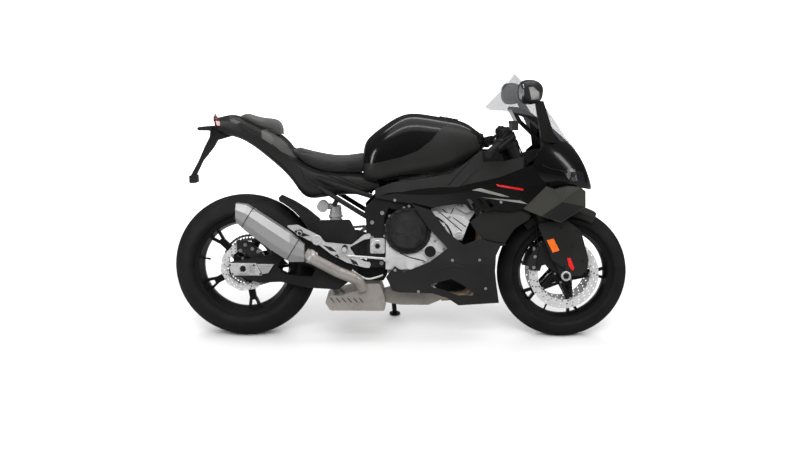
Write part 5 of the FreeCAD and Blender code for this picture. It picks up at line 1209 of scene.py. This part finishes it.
def makeLeftCovers():
    screwSet('alternator_bolts', boltRing(Vector((95, 0, 410)), 76, 9, 178, 1), 5.0, 5.0, 'boltSteel')
    ribs = []
    for i in range(6):
        out = spoke(math.pi * i / 3)
        ribs.append(blockMesh('rib', Vector((95, 180.6, 410)) + out * 40, (44, 5, 3), 1.0, out, toLeft))
    assemble(ribs, 'alternator_ribs', 'castBlack', 35.0)
    spots = sideSpots('sprocket_cover', ((-70, 400), (-70, 492), (24, 400), (24, 492)), 1)
    screwSet('sprocket_cover_bolts', spots, 5.0, 4.0, 'boltSteel')


# rear frame area: pivot boss, frame bolts, adjuster plates, shock spring and brake hose
frameMarks = {
    'pivotBoss': (-125, 435), 'bossSize': (66, 9, 70),
    'bolts': ((-105, 583), (-107, 357), (-150, 540), (-150, 470)),
    'plateRear': ((-797, 351), (-671, 351), (-644, 295), (-779, 294)),
    'plateFront': ((-667, 347), (-590, 347), (-617, 306), (-644, 302)),
    'spring': {'low': (-322, 0, 428), 'high': (-319, 0, 548), 'radius': 28.0, 'wire': 4.2, 'turns': 6.5}}


def makePivotBoss():
    x, z = frameMarks['pivotBoss']
    boss = [blockMesh('boss', (x, -160, z), frameMarks['bossSize'], 4.0),
            turnedMesh('ring', (x, -163, z), toRight, [(0, 27), (3, 27), (4.5, 25), (4.5, 16), (0, 15)], 36)]
    assemble(boss, 'pivot_boss', 'milledSilver', 35.0)
    hole = turnedMesh('pivot_hex', (x, -163.4, z), toRight,
                      [(0, 12), (5, 12), (5.6, 11), (5.6, 8), (2, 7.5)], 6)
    settle(hole, 'pivot_hex', 'boltBlack', 20.0)
    screwSet('frame_bolts', sideSpots('frame', frameMarks['bolts'], -1), 9.0, 6.0, 'boltSteel', 14, 0.6)


def makeAdjusters():
    plates, lines, screws = [], [], []
    for side, y in ((-1, 138.2), (1, 153.2)):
        for key in ('plateRear', 'plateFront'):
            plates.append(plateMesh(key, [frameMarks[key]], side * y, side * (y + 4), 1.0))
        for k in range(4):
            z = 338 - 9 * k
            for left, right in ((-706, -676), (-655 + 2 * k, -604 - 5 * k)):
                lines.append(blockMesh('line', ((left + right) / 2, side * (y + 4.2), z),
                                       (right - left, 1.2, 2.0), 0))
        for x, z in ((-788, 342), (-680, 342), (-776, 302), (-652, 302)):
            screws.append(((x, side * (y + 4), z), (0, side, 0)))
        plates.append(blockMesh('block', (-728, side * (y + 7), 324), (58, 9, 44), 2.5))
    assemble(plates, 'chain_adjusters', 'milledSilver', 35.0)
    assemble(lines, 'adjuster_marks', 'boltBlack', 35.0)
    screwSet('adjuster_screws', screws, 4.0, 3.0, 'boltBlack')


def makeShockDetails():
    spring = frameMarks['spring']
    low, high = Vector(spring['low']), Vector(spring['high'])
    rise = (high - low).normalized()
    side = rise.orthogonal().normalized()
    other = rise.cross(side)
    count = int(spring['turns'] * 14)
    points = []
    for i in range(count + 1):
        share = i / count
        angle = 2 * math.pi * spring['turns'] * share
        points.append(low + (high - low) * share + swing(side, other, angle) * spring['radius'])
    settle(tubeMesh('shock_spring', points, spring['wire'], True, 2), 'shock_spring', 'springRed', 60.0)
    cup = [(0, 31), (1, 33), (9, 33), (10, 28), (26, 28), (27, 24)]
    ridge = [(0, 22.5), (0.5, 24.4), (3, 24.4), (3.5, 22.5)]
    collars = [turnedMesh('collar', low - rise * 8, rise, [(0, 33), (7, 33), (8, 31)], 32),
               turnedMesh('collar', high, rise, cup, 32)]
    for i in range(4):
        collars.append(turnedMesh('ridge', high + rise * (30 + 7 * i), rise, ridge, 28))
    assemble(collars, 'shock_collars', 'milledSilver', 35.0)
    dial = turnedMesh('dial', (-378, -22, 598), toRight,
                      [(0, 15), (6, 15), (7.5, 13), (7.5, 6), (5, 5.5)], 24)
    settle(dial, 'shock_dial', 'boltBlack', 30.0)


def makeRearLines():
    hose = tubeMesh('brakeHose', [(-150, -90, 470), (-240, -104, 500), (-360, -108, 470), (-520, -112, 440),
                                  (-640, -108, 452), (-694, -92, 446)], 3.4)
    settle(hose, 'rear_hose', 'gripRubber', 50.0)
    pins = sideSpots('caliper_rear', ((-744, 404), (-722, 430), (-690, 412), (-664, 400)), -1)
    screwSet('rear_caliper_bolts', pins, 8.0, 5.0, 'boltSteel')


makeClutchDetails()
makeCaseDetails()
makeLeftCovers()
makePivotBoss()
makeAdjusters()
makeShockDetails()
makeRearLines()
print('engine and frame fitted')

# exhaust: muffler ends, clamps, weld lines and pressed ribs

pipes = {
    'centreY': -212.0, 'axis': ((-746, 586), (-448, 409)),
    'clamp': ((-428, -205, 394), (-396, -190, 374))}


def makeMufflerEnds():
    (x0, z0), (x1, z1) = pipes['axis']
    way = Vector((x1 - x0, 0, z1 - z0)).normalized()
    end = Vector((x0, pipes['centreY'], z0))
    outlet = turnedMesh('outlet', end + way * 4 + Vector((0, 0, -4)), -way, [
        (0, 27), (5, 27), (6, 25), (5, 22.5), (-30, 22)], 36)
    settle(outlet, 'muffler_outlet', 'boltBlack', 30.0)
    welds, rivets = [], []
    for x in (-700, -492):
        node = skinOf('exhaust_muffler')
        middleAt = Vector((x, pipes['centreY'], z0 + (x - x0) * (z1 - z0) / (x1 - x0)))
        ring = []
        across = way.cross(acrossAxis)
        for i in range(48):
            angle = 2 * math.pi * i / 48
            out = swing(acrossAxis, across, angle)
            hit, _, _, _ = node.ray_cast(middleAt + out * 200, -out)
            if hit:
                ring.append(hit + out * 0.4)
                if i % 8 == 1:
                    rivets.append((hit + way * (9 if x < -600 else -9), out))
        ring.append(ring[0])
        welds.append(tubeMesh('seam', ring, 1.8, False))
    assemble(welds, 'muffler_seams', 'boltBlack', 60.0)
    screwSet('muffler_rivets', rivets, 4.0, 2.4, 'boltSteel', 10, 0.4)


def makeClamps():
    start, end = (Vector(spot) for spot in pipes['clamp'])
    way = (end - start).normalized()
    rings = [turnedMesh('ring', start - way * 4, way, [(0, 29), (1, 31.5), (13, 31.5), (14, 29)], 36),
             turnedMesh('ring', start + way * 18, way, [(0, 28), (1, 30), (7, 30), (8, 28)], 36),
             blockMesh('lug', start + way * 3 + Vector((0, -30, -4)), (12, 12, 22), 2.0, way, toTop)]
    assemble(rings, 'pipe_clamps', 'milledSilver', 35.0)
    ribs, louvers = [], []
    for k in range(6):
        hitLow, _ = surfaceSpot('exhaust_collector', -318 + 26 * k, 176, -1)
        hitHigh, _ = surfaceSpot('exhaust_collector', -336 + 26 * k, 196, -1)
        if hitLow and hitHigh:
            louvers.append(tubeMesh('louver', [hitLow, (hitLow + hitHigh) / 2, hitHigh], 2.0, False))
    for z in (208, 214):
        line = []
        for k in range(8):
            hit, _ = surfaceSpot('exhaust_collector', -330 + 26 * k, z, -1)
            if hit:
                line.append(hit)
        if len(line) > 2:
            ribs.append(tubeMesh('weld', line, 1.8, False))
    for x in (-96, 168):
        ring = []
        for i in range(33):
            angle = 2 * math.pi * i / 32
            out = Vector((0, math.cos(angle), math.sin(angle)))
            hit, _ = firstHit('exhaust_collector', Vector((x, 0, 184)) + out * 200, -out)
            if hit:
                ring.append(hit)
        if len(ring) > 8:
            ribs.append(tubeMesh('band', ring, 2.6, False))
    assemble(ribs, 'exhaust_ribs', 'champagneSteel', 50.0)
    assemble(louvers, 'exhaust_louvers', 'boltBlack', 50.0)


makeMufflerEnds()
makeClamps()
print('exhaust fitted')

# soft parts: seat and pillion pad, swollen like foam under a stretched cover

foam = {
    'steps': 20, 'cloth': {'quality': 5, 'use_pressure': True, 'uniform_pressure_force': 4.0,
                           'tension_stiffness': 12.0, 'compression_stiffness': 12.0,
                           'bending_stiffness': 0.6}}
pads = {
    'seat': {'node': 'rider_seat', 'finish': 'seatBlack', 'shrink': 4.0, 'cap': 7.0, 'voxel': 5.0,
             'fill': 0.75, 'slot': 'seat_cover'},
    'pillion': {'node': 'pillion_pad', 'finish': 'padGrey', 'shrink': 3.5, 'cap': 6.0, 'voxel': 4.5,
                'fill': 0.8, 'slot': 'seat_cover'}}


def swellPad(holder, spec):
    start = [vertex.co.copy() for vertex in holder.data.vertices]
    cloth = holder.modifiers.new('foam', 'CLOTH')
    for key, value in foam['cloth'].items():
        setattr(cloth.settings, key, value)
    cloth.settings.effector_weights.gravity = 0.0
    scene = bpy.context.scene
    for step in range(1, foam['steps'] + 1):
        scene.frame_set(step)
    ends = [vertex.co.copy() for vertex in evaluated(holder).vertices]
    holder.modifiers.remove(cloth)
    scene.frame_set(1)
    for vertex, before, after in zip(holder.data.vertices, start, ends):
        move = after - before
        limit = spec['cap'] / 1000
        vertex.co = before + (move if move.length < limit else move.normalized() * limit)


def makePad(name, spec):
    work = bmesh.new()
    work.from_mesh(frame['nodes'][spec['node']].data)
    bmesh.ops.remove_doubles(work, verts=work.verts, dist=0.00005)
    holder = addObject(name, freed(work, name))
    remesh = holder.modifiers.new('even', 'REMESH')
    remesh.mode = 'VOXEL'
    remesh.voxel_size = spec['voxel'] / 1000
    smooth = holder.modifiers.new('soft', 'SMOOTH')
    smooth.factor = 0.5
    smooth.iterations = 8
    even = evaluated(holder)
    holder.modifiers.clear()
    holder.data = even
    for vertex in even.vertices:
        vertex.co -= vertex.normal * spec['shrink'] / 1000
    swellPad(holder, spec)
    fine = holder.modifiers.new('fine', 'SUBSURF')
    fine.levels = fine.render_levels = 1
    final = evaluated(holder)
    bpy.data.objects.remove(holder)
    piece = settle(final, name, spec['finish'], 60.0)
    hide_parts(spec['node'])
    skins[name] = skinFrom(final)


# seams: a raised welt with even stitches beside it, laid on the pad along (x, z) or (x, y) points
seams = {
    'sideSeam': ((-500, 850), (-462, 822), (-400, 800), (-330, 792), (-260, 798), (-200, 815), (-172, 830)),
    'topSeam': ((-492, 96), (-420, 84), (-330, 74), (-250, 70), (-176, 66)),
    'pillionSide': ((-735, 985), (-690, 972), (-640, 962), (-590, 950)), 'stitchPitch': 6.5, 'lift': 0.2}


def seamLine(node, points, mode, side):
    line = []
    for (a0, b0), (a1, b1) in zip(points, points[1:]):
        count = max(2, int(math.hypot(a1 - a0, b1 - b0) / 4))
        for i in range(count):
            a, b = a0 + (a1 - a0) * i / count, b0 + (b1 - b0) * i / count
            if mode == 'side':
                hit, normal = surfaceSpot(node, a, b, side)
            else:
                hit, normal = firstHit(node, (a, side * b, 1300), (0, 0, -1))
            if hit is not None:
                line.append((hit, normal))
    return line


# tubes laid along lines of (x, z) points on both sides of a node, every third spot and the last one
def laidTubes(name, node, lines, lift, radius, last=True):
    tubes = []
    for points in lines:
        for side in (-1, 1):
            line = [hit + normal * lift for hit, normal in seamLine(node, points, 'side', side)]
            if len(line) > 3:
                tubes.append(tubeMesh(name, line[::3] + line[-1:] * last, radius))
    return tubes


def makeSeams():
    welts, stitches = [], []
    for node, key, mode in (('seat_pad', 'sideSeam', 'side'), ('seat_pad', 'topSeam', 'top'),
                            ('pillion_cover', 'pillionSide', 'side')):
        for side in (-1, 1):
            line = seamLine(node, seams[key], mode, side)
            if len(line) < 4:
                continue
            welts.append(tubeMesh('welt', [hit + normal * seams['lift'] for hit, normal in line[::2]], 1.3))
            gone = 0.0
            for (p0, n0), (p1, _) in zip(line, line[1:]):
                gone += (p1 - p0).length
                if gone > seams['stitchPitch']:
                    gone = 0.0
                    shift = (p1 - p0).cross(n0).normalized() * 4.0
                    stitches.append((p0 + shift + n0 * 0.3, p1 - p0, n0))
    assemble(welts, 'seat_welts', 'seatBlack', 60.0)
    part = blockMesh('stitch', (0, 0, 0), (3.6, 1.1, 1.0), 0.3, local=True)
    copies('seat_stitches', part, stitches, 'padGrey')


makePad('seat_pad', pads['seat'])
makePad('pillion_cover', pads['pillion'])
makeSeams()
print('soft parts made')

# bodywork: facets, grooves, stripes, painted shade in the scoops and under the winglets, bolts, fuel cap,
# lamps and the inner cockpit panels

bodyMarks = {
    'facetLight': ((-648, 944), (-605, 958), (-586, 907), (-601, 882), (-646, 911)),
    'facetLow': ((-605, 958), (-514, 889), (-507, 865), (-458, 828), (-494, 822), (-557, 849), (-599, 884)),
    # painted shade: outline of the winglet's lower facet, darkened where less light falls
    'wingShadeFacet': ((600, 581), (689, 643), (801, 620), (757, 563), (685, 549)),
    'inlay': ((-797, 994), (-766, 992), (-744, 981), (-762, 972), (-788, 983)),
    'grooves': (('tail_unit', ((-824, 1010), (-779, 996), (-739, 981), (-659, 948), (-612, 955))),
                ('tail_unit', ((-739, 980), (-735, 959), (-663, 920), (-601, 880), (-547, 836),
                               (-521, 813))),
                ('tail_unit', ((-518, 804), (-470, 770), (-453, 725), (-403, 693), (-340, 657))),
                ('upper_cowl', ((600, 806), (640, 788), (684, 781), (752, 755), (790, 737)))),
    'rails': (((-510, 817), (-421, 784), (-296, 740), (-170, 690)),
              ((-506, 806), (-424, 772), (-300, 728), (-180, 680)),
              ((-372, 743), (-363, 684)), ((-440, 742), (-400, 712), (-345, 672))),
    'stripeRed': (((397, 719), (517, 700), (517, 691), (402, 710)),),
    'stripeGrey': (((291, 692), (327, 686), (416, 666), (460, 662), (416, 677), (327, 701)),
                   ((327, 661), (541, 631), (505, 647))),
    'bolts': (('side_fairings', -147, 673), ('lower_fairings', 209, 378), ('lower_fairings', 330, 380),
              ('lower_fairings', 364, 243), ('side_fairings', -49, 643), ('tank_covers', 102, 733),
              ('lower_fairings', -46, 329), ('side_fairings', 420, 640), ('lower_fairings', 60, 230)),
    'crease': ((118, 322), (155, 337), (199, 350), (230, 353), (271, 342), (306, 326)),
    # painted shade: outline of the dark patch where the scoop's opening lies in shade under the cover's edge
    'scoopShade': ((-129, 729), (-94, 738), (-27, 752), (53, 757), (186, 744), (150, 716), (63, 704), (-8, 696),
              (-93, 694), (-120, 704)),
    'trimLines': (((187, 711), (309, 852)), ((222, 692), (350, 820))),
    'gills': ((296, 630, 328, 560), (326, 630, 358, 564), (358, 628, 388, 568), (388, 624, 414, 578)),
    'fuelCap': (196.0, 0.0)}


def bothPatches(name, node, outlines, finishName, lift=0.7, thick=1.2):
    patches = [patchMesh(name, node, outline, side, lift, 8.0, thick)
               for outline in outlines for side in (-1, 1)]
    assemble(patches, name, finishName, 40.0)


def makeMarks():
    bothPatches('tail_facets', 'tail_unit', [bodyMarks['facetLight'], bodyMarks['inlay']], 'facetLight')
    bothPatches('tail_wings', 'tail_unit', [bodyMarks['facetLow']], 'padGrey')
    # painted shade: a darker patch on each winglet's lower, down-facing facet
    bothPatches('winglet_bellies', 'winglets', [bodyMarks['wingShadeFacet']], 'mouldedBlack', 0.5)
    bothPatches('red_stripes', 'side_fairings', bodyMarks['stripeRed'], 'stripeRed', 0.5, 0.9)
    bothPatches('grey_stripes', 'side_fairings', bodyMarks['stripeGrey'], 'stripeGrey', 0.5, 0.9)
    # painted shade: gloss black patches for the shaded openings under the tank covers' edge
    bothPatches('cover_scoops', 'tank_covers', [bodyMarks['scoopShade']], 'glossBlack', 0.8)
    lines = []
    for node, points in bodyMarks['grooves']:
        lines += laidTubes('groove', node, [points], 0.2, 1.7)
    lines += laidTubes('trimLine', 'cockpit_trims', bodyMarks['trimLines'], 0.2, 2.4)
    assemble(lines, 'panel_lines', 'screenGlass', 60.0)
    assemble(laidTubes('rail', 'tail_unit', bodyMarks['rails'], 0.6, 3.2), 'tail_ribs', 'satinGrey', 60.0)
    creases = laidTubes('crease', 'lower_fairings', [bodyMarks['crease']], 0.1, 2.6, False)
    assemble(creases, 'belly_creases', 'satinGrey', 60.0)
    bolts = [surfaceSpot(node, x, z, side) for node, x, z in bodyMarks['bolts'] for side in (-1, 1)]
    screwSet('fairing_bolts', bolts, 6.5, 3.4, 'boltSteel')


def makeGills():
    blades = []
    for side in (-1, 1):
        for x0, z0, x1, z1 in bodyMarks['gills']:
            top, low = Vector((x0, side * 178, z0)), Vector((x1, side * 178, z1))
            size = ((low - top).length, 14, 8)
            blades.append(blockMesh('gill', (top + low) / 2, size, 2.5, low - top, (0.5, side, 0)))
    assemble(blades, 'fairing_gills', 'mouldedBlack', 35.0)


# flat pieces: inner cockpit panels and the dark shapes that stand behind the openings, two of them sheets of
# painted shade;
# finish, chamfer and sides, then the outline of each plate with the y of its two faces
flatPieces = {
    'instrument_hood': ('mouldedBlack', 3.0, (1,), (
        (((476, 1060), (514, 1056), (560, 1034), (583, 1018), (642, 983), (661, 956), (612, 958), (580, 990),
          (540, 1014), (494, 1030)), -82, 82),)),
    'cockpit_liners': ('mouldedBlack', 1.0, (-1, 1), (
        (((585, 1004), (629, 990), (647, 958), (640, 880), (600, 872), (592, 930)), 143, 147),)),
    'shock_linkage': ('frameBlack', 5.0, (1,), (
        (((-251, 345), (-190, 350), (-150, 330), (-92, 322), (-80, 290), (-96, 262), (-178, 256),
          (-240, 276)), -58, 40),)),
    # painted shade: a dark sheet behind the headers, standing in for the shade and the dark hose seen between
    # them
    'heat_shield': ('boltBlack', 1.0, (1,), (
        (((228, 600), (330, 610), (338, 420), (300, 400), (236, 412)), 52, 55),)),
    'fairing_strips': ('bellyBlack', 0.8, (-1, 1), (
        (((366, 476), (384, 470), (440, 464), (450, 444), (412, 436), (372, 446)), 172, 175),
        (((496, 630), (560, 622), (556, 584), (500, 586)), 165, 168))),
    # painted shade: a dark plate across the belly's middle, standing in for the sump and the shaded inside
    # seen through the belly opening
    'oil_sump': ('frameBlack', 4.0, (1,), (
        (((96, 312), (340, 312), (340, 232), (300, 206), (190, 206), (120, 236)), -30, 30),)),
    'pivot_filler': ('frameBlack', 3.0, (1,), (
        (((-118, 650), (-10, 650), (-10, 540), (-80, 470), (-80, 300), (-118, 300)), -50, 30),))}


def makeFlatPieces():
    for name, (finishName, chamfer, sides, plates) in flatPieces.items():
        meshes = [plateMesh(name, [outline], side * low, side * high, chamfer)
                  for outline, low, high in plates for side in sides]
        assemble(meshes, name, finishName)


def makeFuelCap():
    x, y = bodyMarks['fuelCap']
    hit, normal = firstHit('fuel_tank', (x, y, 1300), (0, 0, -1))
    cap = turnedMesh('cap', hit - normal * 3, normal, [
        (0, 44), (5, 44), (6.5, 42), (6.5, 34), (4.5, 33), (4.5, 14), (6.5, 13), (7.5, 11)], 48)
    settle(cap, 'fuel_cap', 'boltBlack', 30.0)
    spots = []
    side = normal.orthogonal().normalized()
    for i in range(6):
        angle = 2 * math.pi * i / 6
        spots.append((hit + normal * 3 + swing(side, normal.cross(side), angle) * 38, normal))
    screwSet('fuel_cap_screws', spots, 3.2, 2.4, 'boltSteel')


def makeRearLamps():
    amber = [blockMesh('amber', (-902, side * 75, 944), (52, 66, 4), 1.4) for side in (-1, 1)]
    assemble(amber, 'signal_lenses', 'lampAmber', 35.0)
    lens = blockMesh('lens', (-985, 0, 719), (4, 52, 26), 1.4)
    settle(lens, 'plate_lamp_lens', 'lampLens', 35.0)
    cells = [blockMesh('cell', (-868, -40 + 20 * i, 990 + 0.12 * abs(-40 + 20 * i)), (4, 16, 22), 1.5)
             for i in range(5)]
    assemble(cells, 'tail_lamp_cells', 'lampRed', 35.0)


makeMarks()
makeGills()
makeFlatPieces()
makeFuelCap()
makeRearLamps()
print('bodywork fitted')

# footrests, stand spring and radiator fins

restMarks = {
    'holes': (((-503, 502), (-472, 507), (-452, 493), (-424, 481), (-457, 478)),
              ((-368, 440), (-332, 431), (-306, 410), (-337, 414)),
              ((-252, 382), (-218, 366), (-206, 342), (-234, 356)), ((-330, 384), (-290, 378), (-304, 400))),
    'boss': (-395, 462), 'supports': (((-360, 268), (-335, 240), (-302, 200)),
                                      ((-333, 273), (-306, 240), (-275, 205))),
    'rod': ((-239, 327), (-194, 290), (-149, 284), (-100, 305)), 'peg': (-270, 430), 'rearPeg': (-470, 498)}


def makeRests():
    # painted shade: dark patches over the footrest bracket's holes, for the shade inside them
    bothPatches('bracket_recesses', 'footrests', restMarks['holes'], 'mouldedBlack', 0.5, 1.0)
    x, z = restMarks['boss']
    bosses, pegs = [], []
    for side in (-1, 1):
        bosses.append(turnedMesh('boss', (x, side * 178, z), (0, side, 0), [
            (0, 23), (6, 23), (8, 21), (8, 14), (5, 13), (5, 8), (9, 7.5), (9, 4)], 32))
        for key, low, high in (('peg', 186, 262), ('rearPeg', 186, 226)):
            px, pz = restMarks[key]
            count = int((high - low) / 7)
            for i in range(count):
                pegs.append(turnedMesh('rib', (px, side * (low + 7 * i), pz), (0, side, 0), [
                    (0, 11.2), (0.8, 12.8), (3.6, 12.8), (4.4, 11.2)], 20))
    assemble(bosses, 'bracket_bosses', 'milledSilver', 30.0)
    assemble(pegs, 'peg_ribs', 'boltBlack', 30.0)
    rod = tubeMesh('rod', [(px, -168, pz) for px, pz in restMarks['rod']], 4.5)
    settle(rod, 'pedal_rod', 'milledSilver', 60.0)
    supports = [tubeMesh('support', [(px, -128 + 30 * i, pz) for i, (px, pz) in enumerate(line)], 6.5)
                for line in restMarks['supports']]
    assemble(supports, 'box_supports', 'champagneSteel', 60.0)


def makeStandParts():
    top, foot = Vector((-62, 150, 292)), Vector((-50, 214, 158))
    way = (foot - top).normalized()
    side = way.orthogonal().normalized()
    other = way.cross(side)
    points = [top + way * (8 + 96 * i / 120) + swing(side, other, i * 0.62) * 7 + Vector((24, 0, 0))
              for i in range(121)]
    settle(tubeMesh('stand_spring', points, 1.5, True, 2), 'stand_spring', 'boltSteel', 60.0,
           body='side_stand')


def makeRadiatorFins():
    fin = blockMesh('fin', (0, 0, 0), (306, 1.2, 2.2), 0, local=True)
    places = []
    for start, way in ((60, 1), (-500, -1)):
        for k in range(30):
            hit, normal = firstHit('radiator', forkSpot(206 + 8 * k, start, 0), -steerAhead * way)
            if hit:
                out = normal if normal.dot(steerAhead * way) > 0 else -normal
                places.append((hit + out * 0.4, acrossAxis, steerAhead))
    copies('radiator_fins', fin, places, 'boltBlack')


makeRests()
makeStandParts()
makeRadiatorFins()
print('small parts fitted')


# floor, lights and air

studio = {
    'floorHalf': 60.0, 'floorGlow': 0.9, 'airCamera': 1.05, 'airDiffuse': (0.36, 1.1),
    'airGloss': (0.05, 0.2)}


# one shader for a kind of ray and another for the rest
def rayMix(tree, rays, others, seen):
    path = addNode(tree, 'ShaderNodeLightPath').outputs
    return addNode(tree, 'ShaderNodeMixShader', {'Fac': path[rays], 1: others, 2: seen}).outputs['Shader']


def makeFloor():
    half = studio['floorHalf']
    mesh = bpy.data.meshes.new('floor')
    mesh.from_pydata([(-half, -half, 0), (half, -half, 0), (half, half, 0), (-half, half, 0)], [],
                     [(0, 1, 2, 3)])
    material, tree, shade = shell('studioFloor')
    place = addNode(tree, 'ShaderNodeTexCoord').outputs['Object']
    reach = addNode(tree, 'ShaderNodeVectorMath', {0: place}, operation='LENGTH').outputs['Value']
    setInputs(tree, shade, {
        'Roughness': 0.7, 'Specular IOR Level': 0.1, 'Base Color': rgb(0.74), 'Emission Color': rgb(1.0),
        'Emission Strength': stretchNode(tree, reach, 1.3, 3.2, 0.0, studio['floorGlow'])})
    dim = addNode(tree, 'ShaderNodeBsdfDiffuse', {'Color': rgb(0.22)}).outputs['BSDF']
    setInputs(tree, tree.nodes['Material Output'], {
        'Surface': rayMix(tree, 'Is Camera Ray', dim, shade.outputs['BSDF'])})
    mesh.materials.append(material)
    addObject('floor', mesh)


def softLight(name, place, aim, width, height, energy, gloss=True):
    light = bpy.data.lights.new(name, 'AREA')
    light.shape = 'RECTANGLE'
    light.size, light.size_y = width, height
    light.energy = energy
    holder = addObject(name, light)
    holder.location = place
    holder.rotation_euler = (Vector(aim) - Vector(place)).to_track_quat('-Z', 'Y').to_euler()
    holder.visible_camera = False
    holder.visible_glossy = gloss


def makeAir():
    world = bpy.data.worlds.new('studioAir')
    bpy.context.scene.world = world
    world.use_nodes = True
    tree = world.node_tree
    plain = tree.nodes['Background']
    setInputs(tree, plain, {'Color': rgb(1.0), 'Strength': studio['airCamera']})
    place = addNode(tree, 'ShaderNodeTexCoord').outputs['Generated']
    height = addNode(tree, 'ShaderNodeSeparateXYZ', {'Vector': place}).outputs['Z']
    backs = []
    for name in ('airDiffuse', 'airGloss'):
        rise = stretchNode(tree, height, 0.0, 0.9, *studio[name])
        backs.append(addNode(tree, 'ShaderNodeBackground', {'Strength': rise}).outputs['Background'])
    air = rayMix(tree, 'Is Camera Ray', rayMix(tree, 'Is Glossy Ray', *backs), plain.outputs['Background'])
    setInputs(tree, tree.nodes['World Output'], {'Surface': air})


makeFloor()
softLight('overheadStrip', (0.0, -0.7, 2.9), (0, 0, 0.6), 3.0, 0.22, 9.0)
softLight('overheadFar', (0.0, 1.2, 2.7), (0, 0, 0.6), 3.0, 0.3, 10.0)
softLight('rearSoft', (-3.6, -1.8, 1.9), (-0.4, 0, 0.6), 0.6, 1.8, 26.0)
softLight('frontSoft', (3.8, -1.4, 2.1), (0.4, 0, 0.6), 0.5, 1.4, 12.0)
softLight('nearWide', (0.0, -3.9, 3.6), (0, 0, 0.5), 4.5, 2.2, 235.0, False)
softLight('farWide', (0.0, 3.9, 3.6), (0, 0, 0.5), 4.5, 2.2, 160.0, False)
sun = bpy.data.lights.new('wideSun', 'SUN')
sun.energy = 0.7
sun.angle = math.radians(70)
addObject('wideSun', sun)
makeAir()
bpy.context.scene.view_settings.view_transform = 'Standard'
print('studio lit')
